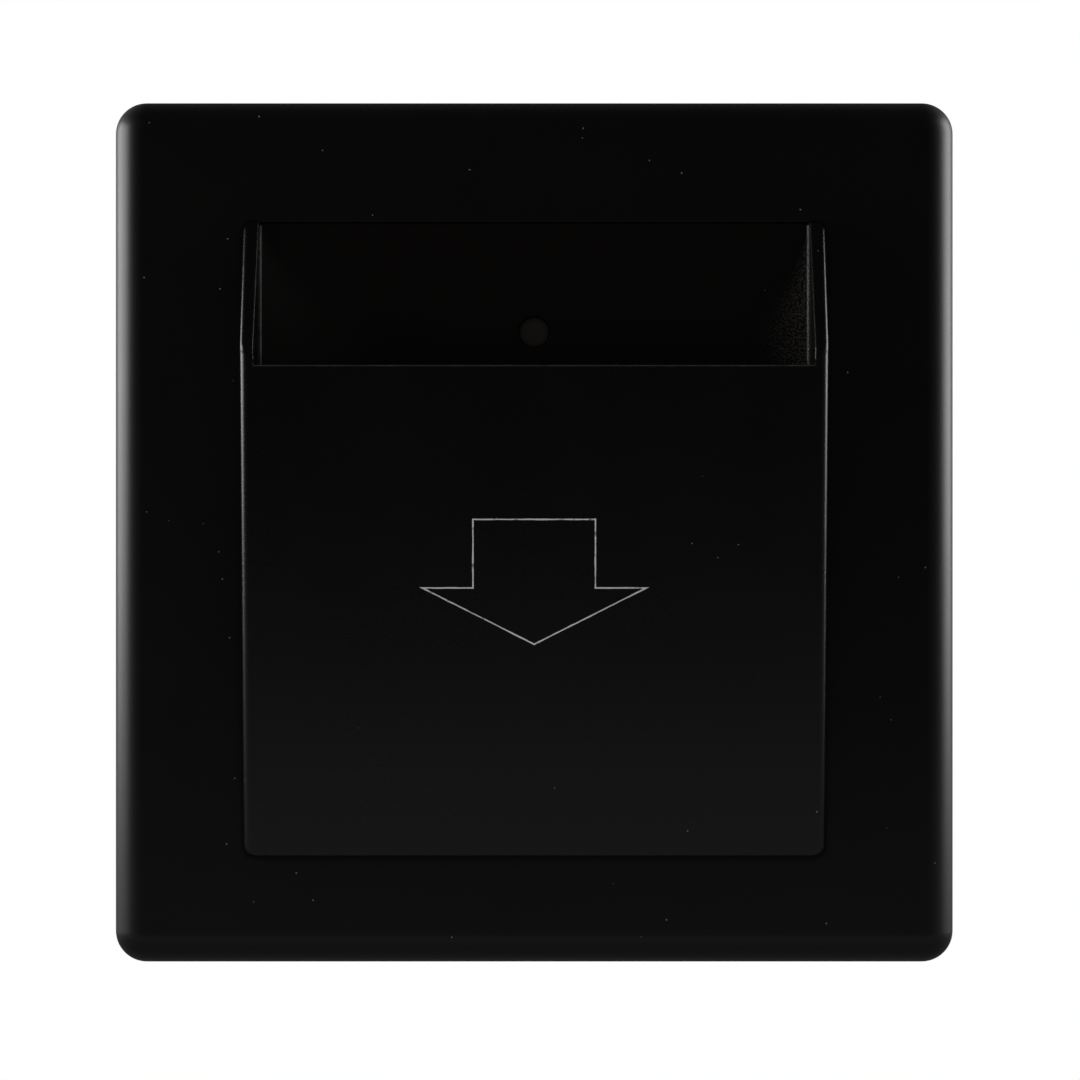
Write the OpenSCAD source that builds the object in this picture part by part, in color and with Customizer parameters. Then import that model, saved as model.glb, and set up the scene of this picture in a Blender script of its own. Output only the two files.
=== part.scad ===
// Hotel key card switch: a wall plate with a raised card holder, a coil reader and a relay in a flush back box.
// The pieces are drawn as they lie on a bench, with X to the right, Y up the wall and Z out of the wall.
// upright() then stands them up: Z is up, the front faces -Y, and the wall is the plane Y = 0.
// The origin is the middle of the plate, on the wall.

/* [Plate] */
// Width of the plate
plate_w = 86; // [78:0.5:96]
// Height of the plate
plate_h = 88.2; // [82:0.1:98]
// How far the plate's face stands out from the wall
plate_t = 10; // [9.6:0.1:12]
// Thickness of the plate's skin and sides
plate_wall = 2; // [1.6:0.1:2.4]
// Radius of the plate's corners, seen from the front
corner_r = 3.2; // [3.1:0.1:5]
// Radius rolled over the plate's front edge
edge_r = 3; // [2:0.1:3]
// Gap between the plate's rim and the wall
rim_gap = 0.3; // [0.2:0.1:0.5]

/* [Card holder] */
// Width of the holder
holder_w = 59.4; // [58.4:0.1:61]
// Top edge of the holder, above the middle of the plate
holder_top = 31.7; // [30:0.1:33]
// Bottom edge of the holder, above the middle of the plate
holder_bottom = -33; // [-35:0.1:-31]
// Height of the ridge where the cheeks meet the pocket front, above the middle of the plate
ridge_v = 18.5; // [17.6:0.1:20]
// How far the ridge stands out from the plate's face
ridge_rise = 7; // [6:0.1:9]
// How far the pocket front stands out from the plate's face at its bottom edge
foot_rise = 1; // [0.8:0.1:1.4]
// How far the cheeks stand out at their top ends
cheek_rise = 0.6; // [0.4:0.1:1]
// Height of the pocket's lip, above the middle of the plate
lip_v = 16.9; // [14:0.1:17.4]
// Thickness of the pocket front
front_wall = 1.8; // [1.4:0.1:2.4]
// Radius of the edges beside the pocket front
front_edge_r = 0.6; // [0.4:0.1:0.8]
// Radius of the cheeks' outer edges, above the ridge
cheek_edge_r = 0.4; // [0.3:0.1:0.6]
// Radius of the holder's corners, seen from the front
holder_corner_r = 0.9; // [0.6:0.1:1.6]
// Width of a key card
card_w = 54; // [53:0.1:54.6]
// Room beside the card on each side, at the floor
card_room = 1.05; // [0.8:0.05:1.1]
// Draft of the cheeks' inner faces, in degrees
draft = 2; // [0.5:0.5:3]
// How far the recess floor lies below the plate's face
floor_drop = 0.3; // [0.2:0.1:0.4]
// Skin of the card guide
guide_skin = 1.6; // [1.4:0.1:1.8]
// Gap between the holder and the plate's window
window_gap = 0.1; // [0.08:0.02:0.2]
// Diameter of the indicator hole
indicator_d = 3.3; // [3:0.1:3.6]
// Height of the indicator, above the middle of the plate
indicator_v = 20.5; // [20:0.1:22]

/* [Base] */
// Distance between the two wall fixing screws
fixing_pitch = 60.3; // [60:0.1:61]
// Width of the fixing slots
slot_w = 4.2; // [4:0.1:4.4]
// Overall length of the fixing slots
slot_l = 7; // [5:0.1:8]
// Thickness of the mounting frame
frame_t = 2; // [1.6:0.1:2.2]
// Width of the rear housing
housing_w = 49; // [45:0.5:51]
// Height of the rear housing
housing_h = 57; // [52:0.5:62]
// Depth of the rear housing behind the wall
housing_depth = 26; // [24:0.5:40]
// Depth behind the wall of the low part that the terminals stand on
ledge_depth = 6.8; // [6.6:0.1:9]
// Wall of the rear housing
housing_wall = 1.6; // [1.2:0.1:2]
// Thickness of the board
board_t = 1.6; // [1:0.1:1.6]

/* [Relay and terminals] */
// How far the armature tilts, in degrees
armature_tilt = 5; // [3:0.5:5]
// Distance between terminals
terminal_pitch = 10; // [8.5:0.1:10.5]
// Travel of the rising clamps
clamp_travel = 2.5; // [1.5:0.1:2.8]

/* [Hidden] */
$fn = 64;

// A running gap between pieces that are fitted into each other
fit = 0.05;
eps = 0.01;
far = 60;

// Mounting frame, and the catches that the plate's hooks sit under
frame_gap = 0.5;
frame_w = plate_w - 2 * plate_wall - 2 * frame_gap;
frame_h = plate_h - 2 * plate_wall - 2 * frame_gap;
frame_corner_r = 2;
frame_rim = 1.2;
frame_rim_h = 4.2;
rim_inner_x = frame_w / 2 - frame_rim;
rim_inner_v = frame_h / 2 - frame_rim;
catch_depth = 0.4;
catch_h = 0.8;
catch_gap = 1;
hook_x = 22;
hook_w = 8;
hook_t = 1.2;
hook_nose = 0.45;
hook_tip_h = frame_t + 0.3;

// Plate and the stack of flanges behind its skin, with the screw bosses midway between holder and frame
skin_back = plate_t - plate_wall;
flange_t = 1.8;
flange_gap = 0.8;
flange_reach = 3;
holder_back = skin_back - flange_t;
guide_back = holder_back - flange_t;
flange_x = plate_w / 2 - plate_wall - flange_gap;
flange_top = holder_top + flange_reach;
flange_bottom = holder_bottom - flange_reach;
boss_v = 24;
boss_at = [(holder_w / 2 + window_gap + rim_inner_x) / 2, boss_v];
boss_d = 4.6;
cover_screw_d = 2.4;
cover_head_d = 4.4;
cover_head_h = 1.5;
cover_pilot_d = cover_screw_d + 2 * fit;
cover_skin = 0.9;
cover_pilot_end = plate_t - cover_skin;
prise_w = 8;
prise_h = 0.9;

// Holder: the pocket front falls from the ridge to the foot, the cheeks from the ridge to the top
ridge_h = plate_t + ridge_rise;
front_fall = (ridge_rise - foot_rise) / (ridge_v - holder_bottom);
front_angle = atan(front_fall);
cheek_angle = atan((ridge_rise - cheek_rise) / (holder_top - ridge_v));
slot_half = card_w / 2 + card_room;
stop_v = holder_bottom + 2.4;
floor_h = plate_t - floor_drop;
// The floor runs flat to this height, then falls back beside the pocket front
floor_turn_v = lip_v - 0.9;
function front_h(v) = ridge_h - (ridge_v - v) * front_fall;
function inner_h(v) = front_h(v) - front_wall / cos(front_angle);
function guide_h(v) = min(floor_h, floor_h - (floor_turn_v - v) * front_fall);
function guide_v(h) = floor_turn_v - (floor_h - h) / front_fall;
skin_drop = guide_skin / cos(front_angle);
pad_half = slot_half - 2 * fit;
pad_top = holder_top - 2 * fit;
lens_sink = 0.5;
lens_flange_t = 1;

// Rear housing, its ears and the board on its posts. The terminals stand by its lower end, clear of the step.
housing_gap = 0.3;
ear_w = 9;
ear_t = 1.6;
ear_reach = 9.5;
ear_screw_out = 5.5;
ear_screw_v = 15;
ear_at = [housing_w / 2 + ear_screw_out, ear_screw_v];
ear_end = housing_w / 2 + ear_reach;
ear_screw_d = 2.2;
ear_head_d = 4.6;
ear_head_h = 1.2;
screw_room = 0.4;
cross_w = 0.6;
board_front = -2;
board_back = board_front - board_t;
board_gap = 0.2;
board_w = housing_w - 2 * housing_wall - 2 * board_gap;
board_h = housing_h - 2 * housing_wall - 2 * board_gap;
board_corner_r = 1;
post = 5;
post_at = [board_w / 2 - post / 2, board_h / 2 - post / 2];
board_screw_d = 2;
board_screw_l = 2.7;
board_head_d = 3.8;
board_head_h = 1.3;
block_ends = 12;
block_h = 11;
block_depth = 15.4;
block_size = [2 * terminal_pitch + block_ends, block_h, block_depth];
terminal_up = 8.5;
terminal_v = terminal_up - housing_h / 2;
step_up = 2;
step_v = terminal_v + block_size.y / 2 + step_up;

// Antenna, indicator light and chips in front of the board
antenna_v = -3;
antenna_out = [40, 38];
antenna_in = [32, 30];
antenna_corner_r = 3;
antenna_h = 3;
antenna_lip = 0.6;
spool_wall = 1.5;
coil_inset = 0.4;
led_d = 3;
led_l = 3.4;
led_rim_d = 3.8;
led_rim_h = 1;
spacer_d = 4.4;
spacer_h = 3;
chip_w = 3.9;
chip_t = 1.5;
chip_lift = 0.15;
chip_v = 6;
leg_pitch = 1.27;
leg_w = 0.4;
leg_t = 0.2;
leg_reach = 1.05;

// Supply parts behind the board, placed from its edges, its posts and each other
part_gap = 0.4;
side_gap = 1.2;
wire_d = 0.6;
wire_reach = 1.2;
relay_size = [16, 20, 15.6];
relay_at = [relay_size.x / 2 + side_gap - board_w / 2, board_h / 2 - post - part_gap - relay_size.y / 2];
can_d = 9.6;
can_l = 16;
can_groove = 0.4;
can_inset = 4.2;
can_at = [board_w / 2 - can_inset - can_d / 2, board_h / 2 - post - part_gap - can_d / 2];
film_size = [8.4, 18, 14];
film_at = [
    (relay_at.x + relay_size.x / 2 + can_at.x - can_d / 2) / 2,
    board_h / 2 - post - part_gap - film_size.y / 2
];
fuse_d = 4.4;
fuse_l = 13;
fuse_cap_d = 5;
fuse_cap_l = 3;
fuse_at = [board_w / 2 - side_gap - fuse_cap_d / 2, can_at.y - can_d / 2 - fuse_l / 2];
varistor_d = 9;
varistor_t = 3.8;
varistor_at = [
    fuse_at.x - fuse_cap_d / 2 - part_gap - varistor_t / 2, step_v + housing_wall + part_gap + varistor_d / 2
];
bleed_d = 2.2;
bleed_l = 5.2;
bleed_cap_d = 2.5;
bleed_cap_l = 1.2;
bleed_at = [varistor_at.x - varistor_t / 2 - part_gap - bleed_cap_d / 2, varistor_at.y];
rectifier_size = [6.4, 3.2, 2.2];
regulator_size = [4.6, 2.6, 1.5];
tab_l = 0.8;
tab_w = 0.8;
tab_t = 0.4;
rectifier_at = [relay_at.x, relay_at.y - (relay_size.y + rectifier_size.y) / 2 - tab_l - part_gap];
regulator_at = [film_at.x, film_at.y - (film_size.y + regulator_size.y) / 2 - part_gap];

// Relay, drawn with Z away from the board and its hinge end at -Y
relay_wall = 0.7;
relay_base_t = 2;
yoke_t = 1.2;
yoke_half = 4.5;
yoke_foot = 3;
yoke_back = -8;
pole_z = 11.2;
pole_rim = 1.2;
pole_t = 0.6;
hinge_y = yoke_back + yoke_t / 2;
hinge_z = pole_z + 0.1;
coil_y = -1;
core_r = 2.1;
bobbin_half = 5.2;
bobbin_lip = 0.8;
bobbin_tall = pole_z - pole_t - 0.1 - relay_base_t - yoke_t;
winding_r = 4.9;
armature_t = 1.1;
armature_end = coil_y + 3.6 - hinge_y;
blade_t = 0.3;
blade_half = 2.5;
blade_start = 3.9;
contact_y = 6.6;
contact_r = 1.3;
button_h = 0.9;
arm_half = 2;
arm_t = 0.8;
clip_z = 4.5;
clip_reach = 2.9;

// Terminals, drawn with Z away from the board and the wires coming in from +Y
screw_y = 0.3;
screw_r = 1.5;
head_r = 2.2;
head_z = [13.1, 14.8];
strip_z = [7.4, 8.4];
strip_half = 1.6;
strip_inset = 1.1;
cage_half = [3.1, 2.5];
cage_wall = 0.9;
cage_bar = 1.2;
cage_top_bar = 1.5;
cage_room = [3.3, 2.8];
mouth_half = 1.9;
mouth_z = 4.5;

module upright() rotate([90, 0, 0]) children();
// A box given by two opposite corners
module box(lo, hi) translate(lo) cube(hi - lo);
// A profile of (height up the wall, distance from the wall), drawn out evenly to both sides
module across(w) rotate([90, 0, 90]) linear_extrude(w, center = true) children();
// On the back of the board, facing away from it
module behind_board(at) translate([at.x, at.y, board_back]) rotate([180, 0, 0]) children();
module before_board(at) translate([at.x, at.y, board_front]) children();
// Both signs of X and Y
module four(at) {
    for (mx = [0, 1], my = [0, 1]) mirror([mx, 0, 0]) mirror([0, my, 0]) translate(concat(at, 0)) children();
}
module both(x) for (s = [-x, x]) translate([s, 0, 0]) children();

// Rectangle with round corners
module rounded(w, h, r) {
    square([w - 2 * r, h], center = true);
    square([w, h - 2 * r], center = true);
    for (x = [r - w / 2, w / 2 - r], y = [r - h / 2, h / 2 - r]) translate([x, y]) circle(r);
}

// Rounded rectangle with a smaller one cut out of it
module ring(outer, inner, r) {
    difference() {
        rounded(outer.x, outer.y, r);
        rounded(inner.x, inner.y, r);
    }
}

// Edge profile of the plate, from a corner's middle to the outside, rolled over at the front
module edge_profile() {
    translate([0, rim_gap]) square([corner_r - edge_r, plate_t - rim_gap]);
    translate([0, rim_gap]) square([corner_r, plate_t - edge_r - rim_gap]);
    intersection() {
        translate([corner_r - edge_r, plate_t - edge_r]) circle(edge_r);
        translate([0, rim_gap]) square([corner_r, plate_t - rim_gap]);
    }
}

// The plate as a solid block with rolled edges: a middle, four edges and four turned corners
module plate_block() {
    mid_x = plate_w / 2 - corner_r;
    mid_y = plate_h / 2 - corner_r;
    box([-mid_x, -mid_y, rim_gap], [mid_x, mid_y, plate_t]);
    for (i = [0, 1]) rotate(180 * i) {
        translate([mid_x, mid_y, 0]) rotate([90, 0, 0]) linear_extrude(2 * mid_y) edge_profile();
        translate([-mid_x, mid_y, 0]) rotate([90, 0, 90]) linear_extrude(2 * mid_x) edge_profile();
        translate([mid_x, mid_y, 0]) rotate_extrude(angle = 90) edge_profile();
        translate([-mid_x, mid_y, 0]) rotate(90) rotate_extrude(angle = 90) edge_profile();
    }
}

// Hook on the plate's back: a tongue whose nose lies under a catch on the frame
module hook() {
    tongue = rim_inner_v - catch_depth - fit - hook_nose;
    across(hook_w) polygon([
        [tongue - hook_t, skin_back + eps], [tongue - hook_t, hook_tip_h], [tongue, hook_tip_h],
        [tongue + hook_nose, hook_tip_h + 0.5], [tongue + hook_nose, hook_tip_h + 1],
        [tongue, hook_tip_h + 1.4], [tongue, skin_back + eps]
    ]);
}

module front_plate() color("#141414") upright() {
    difference() {
        union() {
            difference() {
                plate_block();
                box([plate_wall - plate_w / 2, plate_wall - plate_h / 2, 0],
                    [plate_w / 2 - plate_wall, plate_h / 2 - plate_wall, skin_back]);
            }
            four(boss_at) translate([0, 0, holder_back]) cylinder(d = boss_d, h = flange_t + eps);
            for (s = [0, 1], x = [-hook_x, hook_x]) mirror([0, s, 0]) translate([x, 0, 0]) hook();
        }
        translate([0, (holder_top + holder_bottom) / 2, skin_back - 1]) linear_extrude(plate_wall + 2)
            rounded(holder_w + 2 * window_gap, holder_top - holder_bottom + 2 * window_gap,
                    holder_corner_r + window_gap);
        four(boss_at) translate([0, 0, holder_back - 1])
            cylinder(d = cover_pilot_d, h = cover_pilot_end - holder_back + 1);
        // Notch in the lower rim for prising the front off
        box([-prise_w / 2, -plate_h / 2 - 1, 0],
            [prise_w / 2, plate_wall + eps - plate_h / 2, rim_gap + prise_h]);
    }
}

// Section of the holder square to its front face. The rounds run out past its sides and just past its face.
module holder_section(r, past) {
    round_x = holder_w / 2 + past - r;
    round_h = eps - r;
    intersection() {
        translate([-far, -far]) square([2 * far, far]);
        union() {
            translate([-far, -far]) square([2 * far, far + round_h]);
            translate([-round_x, -far]) square([2 * round_x, 2 * far]);
            both(round_x) translate([0, round_h]) circle(r);
        }
    }
}

// That section run down the pocket front, and run up the cheeks. The two meet in a mitre at the ridge.
module holder_roof() {
    intersection() {
        sloped(front_angle) holder_section(front_edge_r, fit);
        sloped(-cheek_angle) holder_section(cheek_edge_r, 2 * fit);
    }
}

module sloped(angle) translate([0, ridge_v, ridge_h]) rotate([angle, 0, 0]) translate([0, far, 0])
    rotate([90, 0, 0]) linear_extrude(2 * far) children();

// The space in the holder: open at the back, closed by the pocket front up to the lip, open above it
module holder_space() {
    wide = slot_half + (far - floor_h) * tan(draft);
    intersection() {
        translate([0, far, 0]) rotate([90, 0, 0]) linear_extrude(2 * far) polygon([
            [-slot_half, 0], [-slot_half, floor_h], [-wide, far],
            [wide, far], [slot_half, floor_h], [slot_half, 0]
        ]);
        across(2 * far) polygon([
            [stop_v, 0], [stop_v, inner_h(stop_v)], [lip_v, inner_h(lip_v)], [lip_v, far - 1],
            [holder_top + 5, far - 1], [holder_top + 5, 0]
        ]);
    }
}

module card_holder() color("#161616") upright() {
    difference() {
        intersection() {
            translate([0, (holder_top + holder_bottom) / 2, holder_back]) linear_extrude(far)
                rounded(holder_w, holder_top - holder_bottom, holder_corner_r);
            holder_roof();
        }
        holder_space();
    }
    difference() {
        box([-flange_x, flange_bottom, holder_back], [flange_x, flange_top, skin_back]);
        box([-slot_half, stop_v, 0], [slot_half, holder_top, far]);
        four(boss_at) translate([0, 0, holder_back - 1]) cylinder(d = boss_d + 2 * fit, h = flange_t + 2);
    }
}

// Floor of the recess and back of the slot: a flat pad above, a sloping trough below, on a flange
module card_guide() color("#121212") upright() {
    end_v = stop_v - guide_skin;
    difference() {
        union() {
            across(2 * pad_half) polygon([
                [guide_v(holder_back), holder_back], [floor_turn_v, floor_h], [pad_top, floor_h],
                [pad_top, holder_back]
            ]);
            box([-flange_x, flange_bottom, guide_back], [flange_x, flange_top, holder_back]);
            across(2 * (slot_half + guide_skin)) polygon([
                [end_v, guide_back + eps], [end_v, guide_h(stop_v) - skin_drop],
                [stop_v, guide_h(stop_v) - skin_drop], [guide_v(guide_back + skin_drop), guide_back + eps]
            ]);
        }
        across(2 * slot_half) polygon([
            [stop_v, guide_h(stop_v)], [floor_turn_v, floor_h], [floor_turn_v, far], [stop_v, far]
        ]);
        across(2 * (pad_half - guide_skin)) polygon([
            [guide_v(guide_back - eps + skin_drop), guide_back - eps], [floor_turn_v, floor_h - skin_drop],
            [pad_top - guide_skin, floor_h - skin_drop], [pad_top - guide_skin, guide_back - eps]
        ]);
        translate([0, indicator_v, 0]) cylinder(d = indicator_d, h = far);
        four(boss_at) cylinder(d = cover_screw_d + screw_room, h = far);
    }
}

module indicator_lens() color("#3a3836") upright() translate([0, indicator_v, 0]) {
    back = floor_h - skin_drop;
    translate([0, 0, back - lens_flange_t]) cylinder(d = indicator_d + 1.4, h = lens_flange_t);
    translate([0, 0, back - lens_flange_t])
        cylinder(d = indicator_d - 2 * fit, h = lens_flange_t + skin_drop - lens_sink);
}

// Pan head screw with its head's underside at Z = 0 and its shank going up
module pan_screw(d, l, head_d, head_h) {
    difference() {
        union() {
            cylinder(d = d, h = l);
            translate([0, 0, -head_h]) cylinder(d = head_d, h = head_h);
        }
        for (a = [0, 90]) rotate(a)
            box([-head_d * 0.3, -cross_w / 2, -far], [head_d * 0.3, cross_w / 2, -head_h * 0.45]);
    }
}

module cover_screws() color("#9a9a98") upright()
    four(boss_at) translate([0, 0, guide_back])
        pan_screw(cover_screw_d, cover_pilot_end - guide_back - 0.3, cover_head_d, cover_head_h);

module mounting_frame() color("#2b2b2b") upright() {
    slot_reach = slot_l / 2 - slot_w / 2;
    difference() {
        union() {
            linear_extrude(frame_t) rounded(frame_w, frame_h, frame_corner_r);
            linear_extrude(frame_rim_h)
                ring([frame_w, frame_h], [frame_w - 2 * frame_rim, frame_h - 2 * frame_rim], frame_corner_r);
            for (s = [0, 1], x = [-hook_x, hook_x]) mirror([0, s, 0])
                box([x - hook_w / 2 - catch_gap, rim_inner_v - catch_depth, frame_rim_h - catch_h],
                    [x + hook_w / 2 + catch_gap, rim_inner_v + eps, frame_rim_h]);
        }
        box([-housing_w / 2 - housing_gap, -housing_h / 2 - housing_gap, -1],
            [housing_w / 2 + housing_gap, housing_h / 2 + housing_gap, far]);
        both(fixing_pitch / 2) translate([0, 0, -1]) linear_extrude(frame_t + 2) {
            both(slot_reach) circle(d = slot_w);
            square([2 * slot_reach, slot_w], center = true);
        }
        four(ear_at) translate([0, 0, -1]) cylinder(d = ear_screw_d + 2 * fit, h = frame_t + 2);
    }
}

// Walls of the box: deep above the step for the relay, a shallow ledge below it for the terminals
module housing_shell(inset) {
    side = housing_w / 2 - inset;
    top = housing_h / 2 - inset;
    box([-side, step_v + inset, inset - housing_depth], [side, top, frame_t + inset]);
    box([-side, -top, inset - ledge_depth], [side, step_v + inset + 1, frame_t + inset]);
}

module rear_housing() color("#d9d6cd") upright() {
    difference() {
        union() {
            difference() {
                housing_shell(0);
                housing_shell(housing_wall);
            }
            intersection() {
                housing_shell(housing_wall / 2);
                four(post_at) box([-post / 2, -post / 2, -far], [post / 2, post / 2, board_back]);
            }
            four(ear_at) box([-ear_at.x + housing_w / 2 - housing_wall, -ear_w / 2, frame_t],
                             [ear_end - ear_at.x, ear_w / 2, frame_t + ear_t]);
        }
        box([-block_size.x / 2 - board_gap, terminal_v - block_size.y / 2 - board_gap, -far],
            [block_size.x / 2 + board_gap, terminal_v + block_size.y / 2 + board_gap, board_back]);
        four(post_at) translate([0, 0, board_back - board_screw_l - 0.3])
            cylinder(d = board_screw_d + 2 * fit, h = far);
        four(ear_at) {
            translate([0, 0, frame_t - 1]) cylinder(d = ear_screw_d + screw_room, h = far);
            translate([0, 0, frame_t + ear_t - ear_head_h])
                cylinder(d1 = ear_screw_d + screw_room, d2 = ear_head_d + screw_room, h = ear_head_h);
        }
    }
}

// Countersunk, flush with the ears
module housing_screws() color("#9a9a98") upright()
    four(ear_at) difference() {
        union() {
            translate([0, 0, 0.1]) cylinder(d = ear_screw_d, h = frame_t + ear_t - 0.2);
            translate([0, 0, frame_t + ear_t - ear_head_h])
                cylinder(d1 = ear_screw_d, d2 = ear_head_d, h = ear_head_h - fit);
        }
        for (a = [0, 90]) rotate(a)
            box([-ear_head_d * 0.28, -cross_w / 2, frame_t + ear_t - 0.7],
                [ear_head_d * 0.28, cross_w / 2, far]);
    }

module main_board() color("#1d5a36") upright()
    difference() {
        translate([0, 0, board_back]) linear_extrude(board_t) rounded(board_w, board_h, board_corner_r);
        four(post_at) translate([0, 0, board_back - 1])
            cylinder(d = board_screw_d + screw_room, h = board_t + 2);
    }

module board_screws() color("#9a9a98") upright()
    four(post_at) translate([0, 0, board_front]) rotate([180, 0, 0])
        pan_screw(board_screw_d, board_t + board_screw_l, board_head_d, board_head_h);

// Spool for the coil, open in the middle
module antenna_former() color("#e8e2d0") upright() before_board([0, antenna_v]) {
    for (z = [0, antenna_h - antenna_lip]) translate([0, 0, z])
        linear_extrude(antenna_lip) ring(antenna_out, antenna_in, antenna_corner_r);
    translate([0, 0, antenna_lip - eps]) linear_extrude(antenna_h - 2 * antenna_lip + 2 * eps)
        ring(antenna_in + 2 * spool_wall * [1, 1], antenna_in, antenna_corner_r);
}

module antenna_coil() color("#b5652b") upright() before_board([0, antenna_v]) translate([0, 0, antenna_lip])
    linear_extrude(antenna_h - 2 * antenna_lip)
        ring(antenna_out - 2 * coil_inset * [1, 1], antenna_in + 2 * (spool_wall + fit) * [1, 1],
             antenna_corner_r);

module led_spacer() color("#e0ddd4") upright() before_board([0, indicator_v])
    cylinder(d = spacer_d, h = spacer_h);

module indicator_led() color("#d8d8d0") upright() before_board([0, indicator_v]) translate([0, 0, spacer_h]) {
    cylinder(d = led_rim_d, h = led_rim_h);
    cylinder(d = led_d, h = led_l);
    translate([0, 0, led_l]) intersection() {
        sphere(d = led_d);
        box([-led_d, -led_d, -eps], [led_d, led_d, led_d]);
    }
}

// Gull-wing chip package with two rows of legs
module chip(n) {
    body_l = n * leg_pitch + 1;
    box([-body_l / 2, -chip_w / 2, chip_lift], [body_l / 2, chip_w / 2, chip_lift + chip_t]);
    for (i = [0 : n - 1], s = [0, 1]) mirror([0, s, 0])
        translate([(i - (n - 1) / 2) * leg_pitch, chip_w / 2, 0]) {
            box([-leg_w / 2, -eps, chip_t / 2], [leg_w / 2, 2 * leg_t, chip_t / 2 + leg_t]);
            box([-leg_w / 2, leg_t, 0], [leg_w / 2, 2 * leg_t, chip_t / 2 + leg_t]);
            box([-leg_w / 2, leg_t, 0], [leg_w / 2, leg_reach, leg_t]);
        }
}

module controller_chip() color("#222222") upright() before_board([0, antenna_v + chip_v]) chip(8);
module reader_chip() color("#222222") upright() before_board([0, antenna_v - chip_v]) chip(7);

// Cylinder lying along the board on two end legs
module axial_part(d, l, cap_d, cap_l) {
    z = cap_d / 2 + part_gap;
    translate([0, l / 2, z]) rotate([90, 0, 0]) cylinder(d = d, h = l);
    for (s = [0, 1]) mirror([0, s, 0]) {
        translate([0, l / 2, z]) rotate([90, 0, 0]) cylinder(d = cap_d, h = cap_l);
        translate([0, l / 2 - eps, z]) rotate([-90, 0, 0]) cylinder(d = wire_d, h = wire_reach);
        translate([0, l / 2 + wire_reach - wire_d / 2, 0]) cylinder(d = wire_d, h = z);
    }
}

module fuse() color("#c8c4b4") upright() behind_board(fuse_at)
    axial_part(fuse_d, fuse_l, fuse_cap_d, fuse_cap_l);
module bleed_resistor() color("#7fa0b8") upright() behind_board(bleed_at)
    axial_part(bleed_d, bleed_l, bleed_cap_d, bleed_cap_l);

// Coated disc on two legs
module varistor() color("#2a4fa0") upright() behind_board(varistor_at) {
    z = varistor_d / 2 + 1.5;
    translate([-varistor_t / 2, 0, z]) rotate([0, 90, 0]) cylinder(d = varistor_d, h = varistor_t);
    for (y = [-varistor_d / 4, varistor_d / 4]) translate([0, y, 0]) cylinder(d = wire_d, h = z / 2);
}

module film_capacitor() color("#c9a227") upright() behind_board(film_at)
    box([-film_size.x / 2, -film_size.y / 2, 0], [film_size.x / 2, film_size.y / 2, film_size.z]);

// Flat package, its underside just off the board, with tabs along one or both sides
module tab_package(size, tabs, sides) {
    lift = tab_t / 2;
    box([-size.x / 2, -size.y / 2, lift], [size.x / 2, size.y / 2, lift + size.z]);
    for (x = tabs, s = sides) mirror([0, s, 0])
        box([x - tab_w / 2, size.y / 2 - eps, 0], [x + tab_w / 2, size.y / 2 + tab_l, tab_t]);
}

module bridge_rectifier() color("#1c1c1c") upright() behind_board(rectifier_at)
    tab_package(rectifier_size, [-rectifier_size.x / 3, rectifier_size.x / 3], [0, 1]);
module regulator() color("#1c1c1c") upright() behind_board(regulator_at)
    tab_package(regulator_size, [-regulator_size.x / 3, 0, regulator_size.x / 3], [0]);

// Can with the crimped groove near its seal
module smoothing_capacitor() color("#20304a") upright() behind_board(can_at) {
    r = can_d / 2;
    groove_z = can_l * 0.12;
    rotate_extrude() polygon([
        [0, 0], [r, 0], [r, groove_z - can_groove], [r - can_groove, groove_z], [r, groove_z + can_groove],
        [r, can_l - can_groove], [r - can_groove, can_l], [0, can_l]
    ]);
}

module in_relay() upright() behind_board(relay_at) children();

module relay_base() color("#1f3f77") in_relay() difference() {
    box([-relay_size.x / 2 + relay_wall + fit, -relay_size.y / 2 + relay_wall + fit, 0],
        [relay_size.x / 2 - relay_wall - fit, relay_size.y / 2 - relay_wall - fit, relay_base_t]);
    box([-arm_half - fit, contact_y + arm_t - fit, -1], [arm_half + fit, contact_y + 2 * arm_t + fit, far]);
}

module relay_yoke() color("#b8b8b4") in_relay() {
    box([-yoke_half, yoke_back, relay_base_t], [yoke_half, coil_y + yoke_foot, relay_base_t + yoke_t]);
    box([-yoke_half, yoke_back, relay_base_t], [yoke_half, yoke_back + yoke_t, pole_z]);
}

module relay_core() color("#c4c4c0") in_relay() translate([0, coil_y, 0]) {
    translate([0, 0, relay_base_t + yoke_t]) cylinder(r = core_r, h = pole_z - relay_base_t - yoke_t);
    translate([0, 0, pole_z - pole_t]) cylinder(r = core_r + pole_rim, h = pole_t);
}

module relay_bobbin() color("#e6e0cc") in_relay() translate([0, coil_y, relay_base_t + yoke_t]) difference() {
    union() {
        for (z = [0, bobbin_tall - bobbin_lip])
            box([-bobbin_half, -bobbin_half, z], [bobbin_half, bobbin_half, z + bobbin_lip]);
        cylinder(r = core_r + bobbin_lip, h = bobbin_tall);
    }
    translate([0, 0, -1]) cylinder(r = core_r + fit, h = far);
}

module relay_winding() color("#b5652b") in_relay() translate([0, coil_y, relay_base_t + yoke_t + bobbin_lip])
    difference() {
        cylinder(r = winding_r, h = bobbin_tall - 2 * bobbin_lip);
        translate([0, 0, -1]) cylinder(r = core_r + bobbin_lip + fit, h = far);
    }

// Post through the base with an arm that carries the fixed contact
module relay_fixed_contact() color("#c98d4b") in_relay() {
    arm_z = hinge_z + armature_t - 2 * button_h - fit;
    box([-arm_half, contact_y + arm_t, 0], [arm_half, contact_y + 2 * arm_t, arm_z]);
    box([-arm_half, contact_y - 2 * arm_t, arm_z - arm_t], [arm_half, contact_y + 2 * arm_t, arm_z]);
    translate([0, contact_y, arm_z - eps]) cylinder(r = contact_r + 2 * fit, h = button_h + eps);
}

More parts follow.
